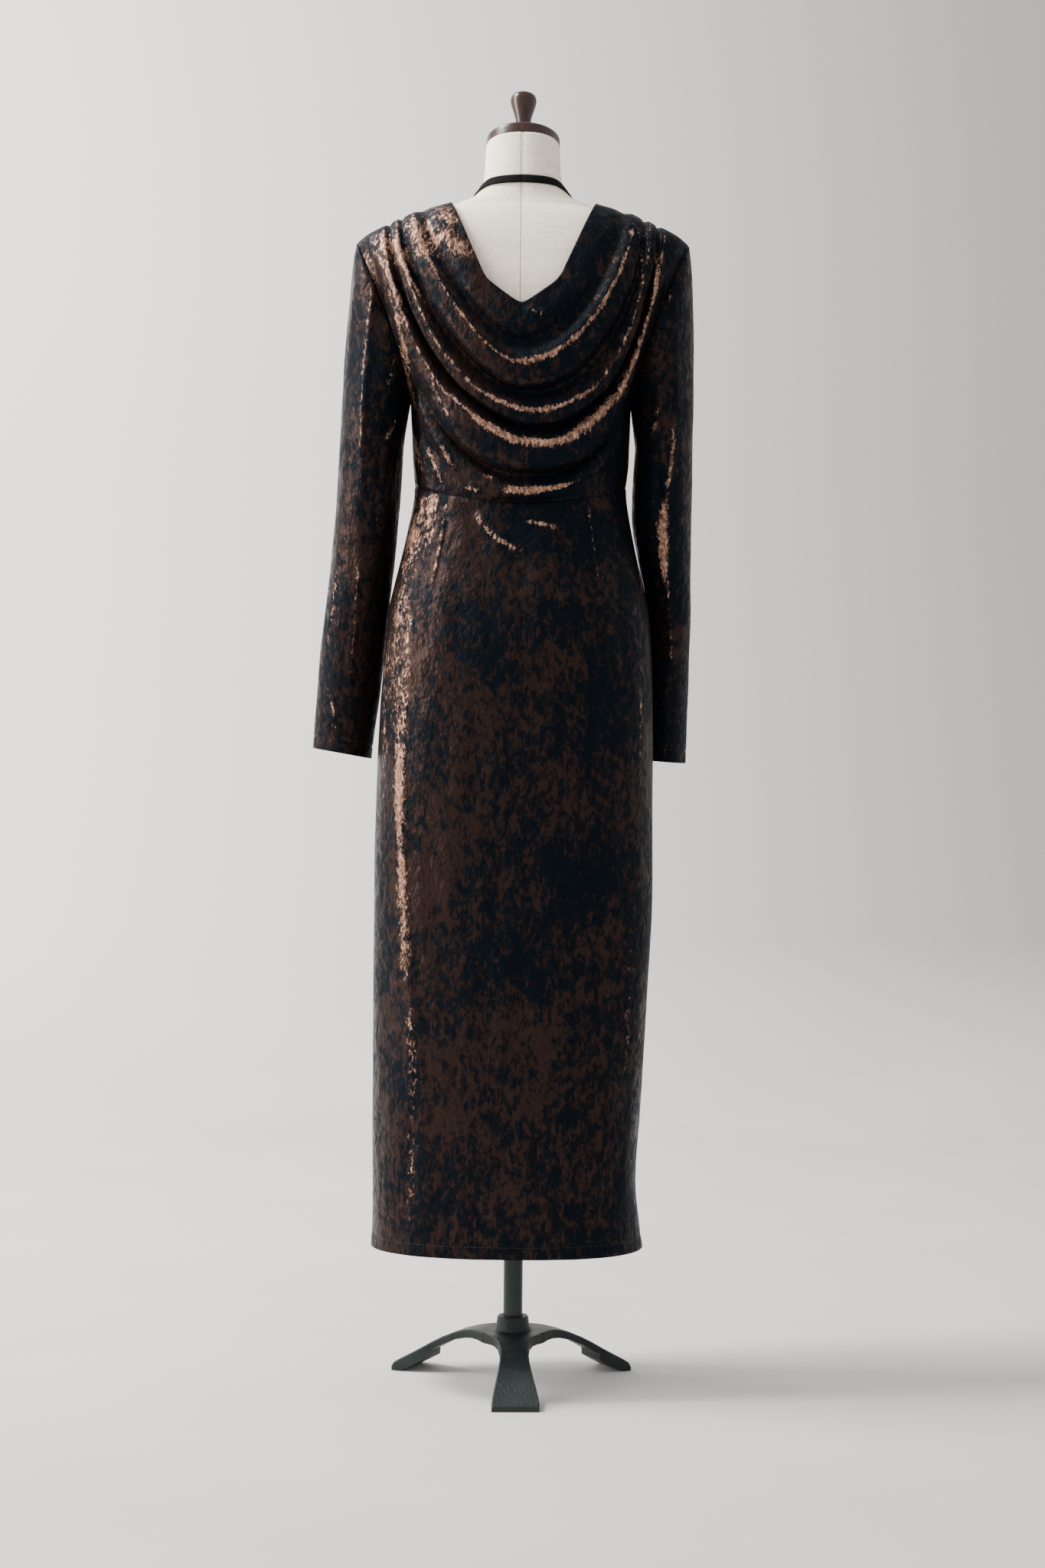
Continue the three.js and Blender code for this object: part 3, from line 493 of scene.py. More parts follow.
# Painted highlights on the sleeves, by turn and height.
sleeve_painted_highlights = {
    1: crease_table(
        (60, 1320, 70, 1180, 84, 1000, 2.2, 0.72),
        (84, 1020, 92, 900, 96, 780, 2.2, 0.62),
        (30, 1320, 26, 1200, 28, 1080, 3, 0.5),
        (20, 1080, 18, 960, 22, 840, 7, 0.5),
        (44, 1000, 46, 920, 40, 840, 4, 0.6),
        (96, 1320, 92, 1270, 92, 1210, 2.6, 0.6),
        (110, 1220, 114, 1180, 112, 1150, 4, 0.6),
        (140, 1150, 126, 1120, 112, 1104, 3, 0.6),
        (120, 1060, 116, 1030, 110, 1000, 3, 0.5),
        (60, 820, 70, 790, 84, 760, 4, 0.6),
        (250, 1180, 262, 1090, 270, 1000, 3, 0.5),
        (330, 1260, 322, 1120, 326, 980, 4, 0.6),
    ),
    -1: crease_table(
        (74, 1150, 82, 1080, 88, 1040, 3.6, 0.8),
        (86, 1060, 92, 1000, 98, 950, 8, 0.9),
        (96, 1040, 100, 980, 96, 930, 6, 0.7),
        (100, 1160, 112, 1130, 122, 1110, 5, 0.55),
        (96, 980, 90, 900, 84, 820, 3, 0.5),
        (150, 1030, 152, 930, 148, 760, 2.2, 0.75),
        (60, 1320, 66, 1290, 70, 1250, 3, 0.5),
        (250, 1180, 262, 1090, 270, 1000, 3, 0.5),
        (330, 1240, 320, 1120, 324, 960, 4, 0.5),
    ),
}


def lerp(a, b, t):
    return a + (b - a) * t


def smoothstep(x, low, high):
    t = np.clip((x - low) / (high - low), 0, 1)
    return t * t * (3 - 2 * t)


def section(z, name):
    return body.at(z, name)


def arch(share, power):
    return np.maximum(0, 1 - np.minimum(1, np.abs(share)) ** power) ** (1 / power)


def side_name(side):
    return "left" if side > 0 else "right"


def body_points(x, z, facing):
    """Points of the dress's body surface, on its back (facing 1) or front (facing -1)."""
    x, z = np.broadcast_arrays(np.asarray(x, float), np.asarray(z, float))
    half = np.where(x > 0, section(z, "left"), section(z, "right"))
    depth = section(z, "back" if facing > 0 else "front")
    return np.stack([x, facing * depth * arch(x / half, SECTION_POWER[facing]), z], -1)


def armhole_rise(z):
    return np.clip((z - UNDERARM_Z) / (SHOULDER_TIP_Z - UNDERARM_Z), 0, 1)


def armhole_x(z, side):
    low = section(UNDERARM_Z, side_name(side))
    return low + (section(SHOULDER_TIP_Z, side_name(side)) - low) * armhole_rise(z) ** ARMHOLE_LEAN


def armhole_point(share, side, facing):
    z = lerp(UNDERARM_Z, SHOULDER_TIP_Z, (1 - math.cos(math.pi * share)) / 2)
    return body_points(side * armhole_x(z, side), z, facing)


def edge_point(edge, side, facing):
    """A point of a bodice panel's outline: 0 neck point, 1 shoulder tip, 2 underarm, 3 waist."""
    if 1 < edge < 2:
        return armhole_point(2 - edge, side, facing)
    z = lerp(NECK_POINT_Z, SHOULDER_TIP_Z, edge) if edge <= 1 else lerp(UNDERARM_Z, WAIST_Z, edge - 2)
    return np.array([side * section(z, side_name(side)), 0, z])


def hang(share, row, side):
    """How deep a row hangs: 1 at its rounded low point, 0 at the edge."""
    k = LOW_POINT_ROUNDING
    rounded = (np.hypot(share, k) - k) / (math.hypot(1, k) - k)
    round_hang = arch(rounded, row["bendLeft"] if side > 0 else row["bendRight"])
    point = 1 - POINT_SLOPE * rounded
    rise = NECK_SLOPE * (1 - rounded)
    pointed = (point + rise - np.hypot(point - rise, TURN_ROUNDING)) / 2
    hung = lerp(round_hang, (1 + np.cos(np.pi * rounded)) / 2, row["level"])
    return lerp(hung, pointed, row["vee"])


def panel_half(z, side):
    return np.where(z > UNDERARM_Z, armhole_x(z, side), section(z, side_name(side)))


def hanging_curve(row, share, side, facing):
    end = edge_point(row["edge"], side, facing)
    z = end[2] - (end[2] - row["lowZ"]) * hang(share, row, side)
    narrow = np.minimum(1, panel_half(z, side) / panel_half(end[2], side))
    narrowing = lerp(1, narrow, smoothstep(row["edge"], 0.5, 1))
    points = body_points(row["lowX"] + (end[0] * narrowing - row["lowX"]) * share, z, facing)
    points[-1] = end
    return points


# Places along a hanging line, closer together where it is steep.
SHARES = 1 - (1 - np.linspace(0, 1, 201)) ** 4


def run_along(points, axis=0):
    """How far each point of a line or a grid lies from the start of its line."""
    steps = np.linalg.norm(np.diff(points, axis=axis), axis=-1)
    return np.insert(np.cumsum(steps, axis), 0, 0, axis)


def even_points(points, count):
    reached = run_along(points)
    wanted = np.linspace(0, reached[-1], count + 1)
    return np.stack([np.interp(wanted, reached, points[:, k]) for k in range(3)], -1)


def bell(distance, width):
    return np.exp(-((distance / width) ** 2))


def inner_share(columns, power):
    """0 at a panel's two sides and 1 in its middle. A lower power widens the middle."""
    return np.sin(np.pi * np.arange(columns + 1) / columns)[None, :] ** power


def panel_row(curve, columns, facing):
    halves = [even_points(curve(SHARES, side), columns // 2) for side in (facing, -facing)]
    points = np.concatenate([halves[0][::-1], halves[1][1:]])
    points[:, 1] += facing * SEAM_GAP / 2
    return points


def row_places(rows, finer):
    """Where the grid's rows lie in their table, from the waist up to the neckline."""
    places = [
        i + k / (steps * finer)
        for i, steps in enumerate(rows.columns["steps"][:-1].astype(int))
        for k in range(steps * finer)
    ]
    return np.array(places + [len(rows.places) - 1.0])[::-1]


def row_at(rows, q):
    row = {name: float(rows.at(q, name)) for name in rows.columns}
    row["edge"] = float(np.interp(q, rows.places, rows.columns["edge"]))
    return row


def unit(vectors):
    return vectors / np.maximum(np.linalg.norm(vectors, axis=-1, keepdims=True), 1e-9)


def grid_normals(points, closed):
    if closed:
        across = np.roll(points, -1, 1) - np.roll(points, 1, 1)
    else:
        across = np.empty_like(points)
        across[:, 1:-1] = points[:, 2:] - points[:, :-2]
        across[:, 0] = points[:, 1] - points[:, 0]
        across[:, -1] = points[:, -1] - points[:, -2]
    up = np.empty_like(points)
    up[1:-1] = points[2:] - points[:-2]
    up[0] = points[1] - points[0]
    up[-1] = points[-1] - points[-2]
    return unit(np.cross(across, up))


def armhole_outward(side):
    return np.array([side * ARMHOLE_OUT, 0, -ARMHOLE_DOWN])


def panel_normals(points, waist_row):
    """Normals square to the side, shoulder and waist seams, that don't reach across the armholes."""
    normals = grid_normals(points, False)
    for j in (0, -1):
        edge = points[:, j]
        outward = armhole_outward(np.sign(edge[0, 0]))
        seam = np.abs(edge[:, 1]) < 1
        normals[seam, j, 1] = 0
        reach = np.maximum(0, -(normals[:, j] @ outward))
        normals[~seam, j] += reach[~seam, None] * outward
    normals[waist_row, :, 2] = 0
    return unit(normals)


CREASE_STEPS = 32
CREASE_START = 0.22
CREASE_END = 0.35


def crease_lift(across, up, creases, pitch=1.0):
    """How far the creases lift a surface at places across and up. pitch turns a step across into mm."""
    total = np.zeros(across.shape)
    for c in creases.each():
        t = np.linspace(0, 1, CREASE_STEPS + 1)
        bend_x = 2 * c["x1"] - (c["x0"] + c["x2"]) / 2
        bend_z = 2 * c["z1"] - (c["z0"] + c["z2"]) / 2
        line_x = (1 - t) ** 2 * c["x0"] + 2 * t * (1 - t) * bend_x + t * t * c["x2"]
        line_z = (1 - t) ** 2 * c["z0"] + 2 * t * (1 - t) * bend_z + t * t * c["z2"]
        reach = 4 * c["width"]
        near = (
            (across * pitch > line_x.min() * pitch - reach)
            & (across * pitch < line_x.max() * pitch + reach)
            & (up > line_z.min() - reach)
            & (up < line_z.max() + reach)
        )
        px, pz = across[near], up[near]
        best = np.full(px.shape, 1e9)
        where = np.zeros(px.shape)
        for k in range(CREASE_STEPS):
            ax, az = line_x[k] * pitch, line_z[k]
            dx, dz = line_x[k + 1] * pitch - ax, line_z[k + 1] - az
            s = np.clip(((px * pitch - ax) * dx + (pz - az) * dz) / (dx * dx + dz * dz + 1e-9), 0, 1)
            distance = np.hypot(px * pitch - ax - s * dx, pz - az - s * dz)
            closer = distance < best
            best = np.where(closer, distance, best)
            where = np.where(closer, (k + s) / CREASE_STEPS, where)
        ends = smoothstep(where, 0, CREASE_START) * smoothstep(1 - where, 0, CREASE_END)
        total[near] += c["height"] * ends * bell(best, c["width"])
    return total


def ripple(a, b, seed, wavelength, size):
    """A soft uneven waviness, the sum of a few slanted waves."""
    chance = np.random.default_rng(seed)
    total = np.zeros(a.shape)
    for _ in range(6):
        angle = chance.uniform(0, 2 * math.pi)
        length = wavelength * chance.uniform(0.7, 1.6)
        step = (a * math.cos(angle) + b * math.sin(angle)) * 2 * math.pi / length
        total += np.sin(step + chance.uniform(0, 2 * math.pi))
    return size * total / 3


# Meshes
def mesh_object(name, vertices, faces, material):
    mesh = bpy.data.meshes.new(name)
    mesh.from_pydata(vertices.tolist(), [], faces.tolist() if hasattr(faces, "tolist") else faces)
    mesh.polygons.foreach_set("use_smooth", np.ones(len(mesh.polygons), bool))
    mesh.materials.append(material)
    mesh.update()
    made = bpy.data.objects.new(name, mesh)
    bpy.context.scene.collection.objects.link(made)
    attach(made, "root")
    return made


def shell_faces(rows, columns, closed):
    def grid(layer):
        return layer * rows * columns + np.arange(rows * columns).reshape(rows, columns)

    outer, inner = grid(0), grid(1)
    if closed:
        outer = np.concatenate([outer, outer[:, :1]], 1)
        inner = np.concatenate([inner, inner[:, :1]], 1)

    def quads(a, b, c, d):
        return np.stack([a.ravel(), b.ravel(), c.ravel(), d.ravel()], -1)

    faces = [
        quads(outer[:-1, :-1], outer[:-1, 1:], outer[1:, 1:], outer[1:, :-1]),
        quads(inner[1:, :-1], inner[1:, 1:], inner[:-1, 1:], inner[:-1, :-1]),
        quads(inner[0, :-1], inner[0, 1:], outer[0, 1:], outer[0, :-1]),
        quads(outer[-1, :-1], outer[-1, 1:], inner[-1, 1:], inner[-1, :-1]),
    ]
    if not closed:
        faces.append(quads(outer[:-1, 0], outer[1:, 0], inner[1:, 0], inner[:-1, 0]))
        faces.append(quads(inner[:-1, -1], inner[1:, -1], outer[1:, -1], outer[:-1, -1]))
    return np.concatenate(faces)


def shell(name, points, normals, thickness, closed, material, marks=None):
    rows, columns = points.shape[:2]
    inner = points - normals * thickness
    vertices = to_metres(np.concatenate([points.reshape(-1, 3), inner.reshape(-1, 3)]))
    made = mesh_object(name, vertices, shell_faces(rows, columns, closed), material)
    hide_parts(name)
    for mark, values in (marks or {}).items():
        layer = made.data.attributes.new(mark, "FLOAT", "POINT")
        layer.data.foreach_set("value", np.tile(values.ravel(), 2).astype(np.float32))
    return made


def loft(name, rings, material, replaced):
    """A closed body through level rings, closed by a fan at each end."""
    rings = np.asarray(rings, float)
    count, columns = rings.shape[:2]
    vertices = np.concatenate([rings.reshape(-1, 3), [rings[0].mean(0), rings[-1].mean(0)]])
    ids = np.arange(count * columns).reshape(count, columns)
    ids = np.concatenate([ids, ids[:, :1]], 1)
    faces = np.stack([ids[:-1, :-1], ids[:-1, 1:], ids[1:, 1:], ids[1:, :-1]], -1)
    faces = faces.reshape(-1, 4).tolist()
    low, high = count * columns, count * columns + 1
    faces += [[low, ids[0, j + 1], ids[0, j]] for j in range(columns)]
    faces += [[high, ids[-1, j], ids[-1, j + 1]] for j in range(columns)]
    made = mesh_object(name, to_metres(vertices), faces, material)
    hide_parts(replaced)
    return made


# Materials
def feed(tree, socket, value):
    """Links a socket to another node's output, or sets it to a plain value or colour."""
    if hasattr(value, "is_linked"):
        tree.links.new(value, socket)
    elif socket.type == "RGBA":
        socket.default_value = (*value, 1)
    else:
        socket.default_value = value


class Shader:
    """A material, with a short way to add each kind of node that the finishes are made of."""

    def __init__(self, name):
        self.material = bpy.data.materials.new(name)
        self.material.use_nodes = True
        self.tree = self.material.node_tree

    def set(self, values):
        sockets = self.tree.nodes["Principled BSDF"].inputs
        for name, value in values.items():
            feed(self.tree, sockets[name], value)

    def add(self, kind, output, inputs, **settings):
        node = self.tree.nodes.new("ShaderNode" + kind)
        for name, value in settings.items():
            setattr(node, name, value)
        for name, value in inputs.items():
            feed(self.tree, node.inputs[name], value)
        return node.outputs[output]

    def place(self):
        return self.add("TexCoord", "Object", {})

    def along(self, axis):
        return self.add("SeparateXYZ", axis, {"Vector": self.place()})

    def mapped(self, *scale):
        return self.add("Mapping", "Vector", {"Vector": self.place(), "Scale": scale})

    def attribute(self, name):
        return self.add("Attribute", "Fac", {}, attribute_name=name)

    def noise(self, place, scale, detail, roughness=0.5, distortion=0.0):
        inputs = {"Vector": place, "Scale": scale, "Detail": detail}
        return self.add("TexNoise", "Fac", inputs | {"Roughness": roughness, "Distortion": distortion})

    def ramp(self, value, *stops):
        """Stops are places from 0 to 1, each with a grey or a colour."""
        node = self.tree.nodes.new("ShaderNodeValToRGB")
        elements = node.color_ramp.elements
        while len(elements) < len(stops):
            elements.new(0.5)
        for element, (place, colour) in zip(elements, stops):
            element.position = place
            element.color = (*colour, 1) if hasattr(colour, "__len__") else (colour, colour, colour, 1)
        self.tree.links.new(value, node.inputs["Fac"])
        return node.outputs["Color"]

    def calculate(self, operation, *values):
        return self.add("Math", 0, dict(enumerate(values)), operation=operation)

    def halved(self, value):
        """Half of a sum, for a ramp, which ends at 1."""
        return self.calculate("MULTIPLY", value, 0.5)

    def mixed(self, share, a, b, blend="MIX"):
        inputs = {"Factor": share, "A": a, "B": b}
        return self.add("Mix", "Result", inputs, data_type="RGBA", blend_type=blend)

    def bump(self, height, distance, strength=1.0, over=None):
        inputs = {"Height": height, "Distance": distance, "Strength": strength}
        if over is not None:
            inputs["Normal"] = over
        return self.add("Bump", "Normal", inputs)


def velvet_material():
    """Crushed velvet: blue-black where its pile stands and brown where it lies, with more brown painted on
    the lit side, and painted copper highlights.
    """
    shader = Shader("crushed_velvet")
    place = shader.mapped(1, 1, 0.75)
    clouds = shader.noise(place, 16, 2)
    patches = shader.noise(place, 96, 7, 0.74, 0.35)
    streaks = shader.noise(shader.mapped(1, 1, 0.35), 230, 4, 0.65, 0.3)
    crumbs = shader.noise(shader.mapped(1, 1, 0.5), 300, 5, 0.75, 0.7)
    pile = shader.noise(place, 1600, 2, 0.6)
    # This mesh attribute is a painted highlight, laid along listed creases and swag crests.
    painted_highlight = shader.attribute("painted_highlight")
    pressed = shader.calculate("MULTIPLY_ADD", streaks, 0.5, patches)
    spread = shader.calculate("MULTIPLY_ADD", clouds, 0.45, pressed)
    # This mesh attribute is painted light: it adds brown patches on the side towards the key light and takes
    # some away on the far side.
    shifted_by_painted_light = shader.calculate("ADD", spread, shader.attribute("painted_side_light"))
    lying_and_painted_light = shader.ramp(shader.halved(shifted_by_painted_light), (0.458, 0.0), (0.49, 0.4), (0.53, 1.0))
    black, shade, brown = (0.0012, 0.0040, 0.0076), (0.0085, 0.0066, 0.0078), (0.0285, 0.0165, 0.0138)
    cloth = shader.ramp(lying_and_painted_light, (0.0, black), (0.4, shade), (1.0, brown))
    dull = shader.mixed(1, cloth, shader.ramp(pile, (0.3, 0.7), (0.7, 1.0)), "MULTIPLY")
    # Painted highlight: copper where the painted highlight mask is strong, broken up by the crushed pile's
    # noise.
    crumbled = shader.calculate("MULTIPLY_ADD", crumbs, 1.2, shader.calculate("MULTIPLY", patches, 0.95))
    painted_highlight_lifted = shader.calculate("MULTIPLY_ADD", painted_highlight, 0.48, crumbled)
    painted_highlight_share = shader.ramp(shader.halved(painted_highlight_lifted), (0.67, 0.0), (0.70, 0.25), (0.73, 0.65), (0.78, 1.0))
    painted_highlight_share = shader.calculate("MULTIPLY", painted_highlight_share, shader.ramp(painted_highlight, (0.05, 0.0), (0.3, 1.0)))
    painted_highlight_low, painted_highlight_mid, painted_highlight_peak = (0.080, 0.040, 0.026), (0.22, 0.118, 0.080), (0.60, 0.37, 0.27)
    painted_highlight_colour = shader.ramp(crumbs, (0.36, painted_highlight_low), (0.52, painted_highlight_mid), (0.68, painted_highlight_peak))
    crush = shader.noise(place, 72, 2.5, 0.5, 0.3)
    dents = shader.noise(shader.mapped(1, 1, 0.6), 270, 2, 0.5, 0.2)
    shader.set(
        {
            "Base Color": shader.mixed(painted_highlight_share, dull, painted_highlight_colour),
            "Metallic": shader.ramp(lying_and_painted_light, (0.0, 0.2), (1.0, 0.6)),
            "Roughness": shader.ramp(lying_and_painted_light, (0.0, 0.55), (1.0, 0.38)),
            "Normal": shader.bump(dents, 0.0009, over=shader.bump(crush, 0.0026)),
            "Specular IOR Level": 0.06,
            "Specular Tint": (0.92, 0.95, 1.0),
            "Sheen Weight": 0.01,
            "Sheen Roughness": 0.3,
            "Sheen Tint": (1.0, 0.55, 0.36),
        }
    )
    return shader.material


def ribbon_material():
    shader = Shader("ribbon_velvet")
    pile = shader.noise(shader.mapped(1, 1, 1), 900, 3, 0.6)
    shader.set(
        {
            "Base Color": shader.ramp(pile, (0.3, (0.0025, 0.0028, 0.004)), (0.7, (0.008, 0.007, 0.008))),
            "Normal": shader.bump(pile, 0.0006),
            "Roughness": 0.9,
            "Specular IOR Level": 0.08,
            "Sheen Weight": 0.02,
            "Sheen Roughness": 0.5,
        }
    )
    return shader.material


def thread_material():
    shader = Shader("sewing_thread")
    twist = shader.noise(shader.mapped(1, 1, 1), 2600, 2)
    colour = shader.ramp(twist, (0.3, (0.012, 0.008, 0.0075)), (0.7, (0.032, 0.020, 0.016)))
    shader.set({"Base Color": colour, "Normal": shader.bump(twist, 0.0003), "Roughness": 0.6})
    return shader.material


def linen_material():
    shader = Shader("form_linen")
    warp = shader.noise(shader.mapped(1, 1, 0.03), 1500, 2)
    weft = shader.noise(shader.mapped(0.03, 0.03, 1), 1500, 2)
    weave = shader.calculate("ADD", warp, weft)
    cloth = shader.ramp(shader.halved(weave), (0.3, (0.88, 0.775, 0.635)), (0.7, (1.0, 0.905, 0.775)))
    long = shader.noise(shader.mapped(1, 1, 0.06), 420, 3, 0.6)
    cross = shader.noise(shader.mapped(0.06, 0.06, 1), 420, 3, 0.6)
    slubs = shader.ramp(shader.calculate("MAXIMUM", long, cross), (0.52, 0.0), (0.72, 0.6))
    tinted = shader.mixed(slubs, cloth, (0.62, 0.55, 0.45))
    # The cover is sewn from halves, with a fine seam up the middle of the back and the front.
    off = shader.calculate("SUBTRACT", shader.along("X"), float(to_metres([FORM_SEAM_X, 0, 0])[0]))
    away = shader.calculate("MULTIPLY", shader.calculate("ABSOLUTE", off), 1000)
    seam = shader.ramp(away, (0.3, 1.0), (0.75, 0.0))
    shader.set(
        {
            "Base Color": shader.mixed(seam, tinted, (0.40, 0.37, 0.32)),
            "Normal": shader.bump(shader.calculate("MULTIPLY_ADD", seam, -2.0, weave), 0.0005, 0.7),
            "Roughness": 0.9,
            "Specular IOR Level": 0.2,
        }
    )
    return shader.material


def wood_material():
    shader = Shader("dark_wood")
    grain = shader.noise(shader.mapped(1, 0.08, 0.5), 260, 5, 0.65, 0.8)
    pores = shader.noise(shader.mapped(1, 0.05, 1), 1400, 2)
    dark, brown, light = (0.010, 0.004, 0.003), (0.030, 0.0105, 0.007), (0.062, 0.021, 0.013)
    shader.set(
        {
            "Base Color": shader.ramp(grain, (0.3, dark), (0.55, brown), (0.75, light)),
            "Normal": shader.bump(pores, 0.0002, 0.5),
            "Roughness": shader.ramp(pores, (0.3, 0.34), (0.8, 0.24)),
            "Coat Weight": 0.25,
            "Coat Roughness": 0.18,
            "Specular IOR Level": 0.3,
        }
    )
    return shader.material


def metal_material(name, dark, light, smooth, rough, distance):
    shader = Shader(name)
    cloud = shader.noise(shader.mapped(1, 1, 1), 26, 5, 0.6)
    grit = shader.noise(shader.mapped(1, 1, 1), 520, 3, 0.6)
    shader.set(
        {
            "Base Color": shader.ramp(cloud, (0.3, dark), (0.7, light)),
            "Normal": shader.bump(grit, distance, 0.8),
            "Roughness": shader.ramp(cloud, (0.3, smooth), (0.75, rough)),
            "Metallic": 0.35,
            "Specular IOR Level": 0.28,
        }
    )
    return shader.material


velvet = velvet_material()
ribbon = ribbon_material()
thread = thread_material()
linen = linen_material()
wood = wood_material()
post_metal = metal_material("post_metal", (0.013, 0.020, 0.021), (0.023, 0.031, 0.032), 0.34, 0.46, 0.0002)
cast_iron = metal_material("cast_iron", (0.009, 0.0145, 0.0145), (0.021, 0.029, 0.029), 0.36, 0.52, 0.0012)


def velvet_shell(name, points, normals, painted_side_light, painted_highlight, closed=False):
    # Both marks are painted light: one moves brown patches towards the lit side, the other lays on painted
    # highlights.
    marks = {"painted_side_light": painted_side_light, "painted_highlight": painted_highlight}
    return shell(name, points, normals, CLOTH, closed, velvet, marks)


# Sewing
STITCH_LENGTH = 3.0
STITCH_GAP = 1.2
STITCH_HALF_WIDTH = 0.28
STITCH_HALF_HEIGHT = 0.22
STITCH_RISE = 0.25
STITCH_SINK = 0.15
# How full a stitch is at shares of its length.
STITCH_OUTLINE = [(0.0, 0.10), (0.18, 0.8), (0.5, 1.0), (0.82, 0.8), (1.0, 0.10)]


def stitches(name, points, normals):
    """A row of short raised stitches along a line that lies on the cloth."""
    reached = run_along(points)

    def on(line, place):
        return np.array([np.interp(place, reached, line[:, k]) for k in range(3)])

    vertices, faces = [], []
    for start in np.arange(STITCH_GAP, reached[-1] - STITCH_LENGTH, STITCH_LENGTH + STITCH_GAP):
        first = len(vertices)
        for share, full in STITCH_OUTLINE:
            at = start + share * STITCH_LENGTH
            out = unit(on(normals, at))
            side = np.cross(out, unit(on(points, at + 1) - on(points, at - 1)))
            middle = on(points, at) + out * (STITCH_RISE * full - STITCH_SINK)
            for angle in (0, 90, 180, 270):
                a = math.radians(angle)
                high = STITCH_HALF_HEIGHT * full * math.sin(a)
                wide = STITCH_HALF_WIDTH * full * math.cos(a)
                vertices.append(middle + out * high + side * wide)
        for i in range(4):
            for k in range(4):
                a = first + 4 * i + k
                b = first + 4 * i + (k + 1) % 4
                faces.append([a, b, b + 4, a + 4])
        faces.append([first + 3, first + 2, first + 1, first])
        faces.append([first + 16, first + 17, first + 18, first + 19])
    return mesh_object(name, to_metres(vertices), faces, thread)


# The bodice
def seam_dip(points, *edges):
    """How far the cloth rolls in towards its sewn edges: first_row, last_row or sides of its grid."""
    up, on = run_along(points, 0), run_along(points, 1)
    away = {"first_row": up, "last_row": up[-1:] - up, "sides": np.minimum(on, on[:, -1:] - on)}
    return -SEAM_ROLL * sum(bell(away[name], SEAM_ROLL_WIDTH) for name in edges)


def armhole_fade(table, normals):
    """Less of the roll where an armhole seam runs front to back, so that bodice and sleeve stay together."""
    edge = column_of(table, "edge")
    level = np.abs(normals[:, [0, -1], 1]).min(1)[:, None]
    return np.where((edge > 1) & (edge < 2), level**2, 1)


def fold_height(phase):
    t = phase - np.floor(phase)
    warped = t + DRAPE_SHARPNESS * (1 - np.cos(2 * np.pi * t)) / (2 * np.pi)
    return (1 + np.cos(2 * np.pi * warped)) / 2


def column_of(table, name):
    return np.array([row[name] for row in table])[:, None]


def bodice_grid(rows, finer, columns, facing):
    table = [row_at(rows, q) for q in row_places(rows, finer)]
    lines = [
        panel_row(lambda share, side, row=row: hanging_curve(row, share, side, facing), columns, facing)
        for row in table
    ]
    return table, np.array(lines)


def creased(points, table, creases, waves, ends):
    """A bodice panel with its creases and rolled seams. waves is a ripple's seed, length and size, and ends
    says over what share of the height the creases fade at the waist and at the neckline."""
    normals = panel_normals(points, 0)
    across, up = points[..., 0], points[..., 2]
    rise = np.linspace(0, 1, len(points))[:, None]
    detail = crease_lift(across, up, creases) + ripple(across, up, *waves)
    detail *= inner_share(points.shape[1] - 1, 0.5)
    detail *= smoothstep(rise, 0, ends[0]) * smoothstep(1 - rise, 0, ends[1])
    detail += seam_dip(points, "first_row", "sides") * armhole_fade(table, normals)
    return points + normals * detail[..., None]


def swag_painted_highlight_mask(points, phases):
    """Painted highlights along the crests of the swags, as the crest table says at each place across."""
    total = np.zeros(points.shape[:2])
    up = run_along(points)
    for crest, line in painted_swag_highlights.items():
        row = int(np.argmin(np.abs(phases - crest)))
        width, strength, above = (
            np.interp(points[row, :, 0], line.columns["x"], line.columns[name])
            for name in ("width", "strength", "above")
        )
        total += PAINTED_SWAG_HIGHLIGHT * strength * bell(up - up[row] - above, width)
    return total


def draped_back():
    columns = 192
    table, points = bodice_grid(drape_rows, 5, columns, 1)
    middle = inner_share(columns, 1.8)
    across, up = points[..., 0], points[..., 2]
    half = np.where(across > 0, panel_half(up, 1), panel_half(up, -1))
    room = smoothstep(half - np.abs(across), 0, FOLD_MARGIN)
    fold = lerp(column_of(table, "tuck"), column_of(table, "swell"), middle)
    fold = fold * fold_height(column_of(table, "phase")) * room
    stand = column_of(table, "stand") * middle * room
    points = points + panel_normals(points, 0) * (stand + fold)[..., None]
    points[..., 2] -= DRAPE_OVERHANG * fold * middle
    points = creased(points, table, bodice_back_creases, waves=(5, 52, 0.5), ends=(0.05, 0.03))
    across = points[..., 0]
    # Painted light: more brown towards +X, the lit side, and less towards -X.
    painted_side_light = 0.02 * smoothstep(across, -20, 90) - 0.05 * smoothstep(-across, -40, 60)
    # Painted highlights along the listed creases and along the swag crests.
    painted_highlight = crease_lift(across, points[..., 2], bodice_back_painted_highlights)
    painted_highlight += swag_painted_highlight_mask(points, column_of(table, "phase")[:, 0])
    return velvet_shell("bodice_back", points, panel_normals(points, 0), painted_side_light, painted_highlight)


def plain_front():
    table, points = bodice_grid(front_rows, 6, 128, -1)
    points = creased(points, table, bodice_front_creases, waves=(9, 60, 0.6), ends=(0.06, 0.05))
    # Painted highlights along the listed creases.
    painted_highlight = crease_lift(points[..., 0], points[..., 2], bodice_front_painted_highlights)
    return velvet_shell("bodice_front", points, panel_normals(points, 0), np.zeros(painted_highlight.shape), painted_highlight)


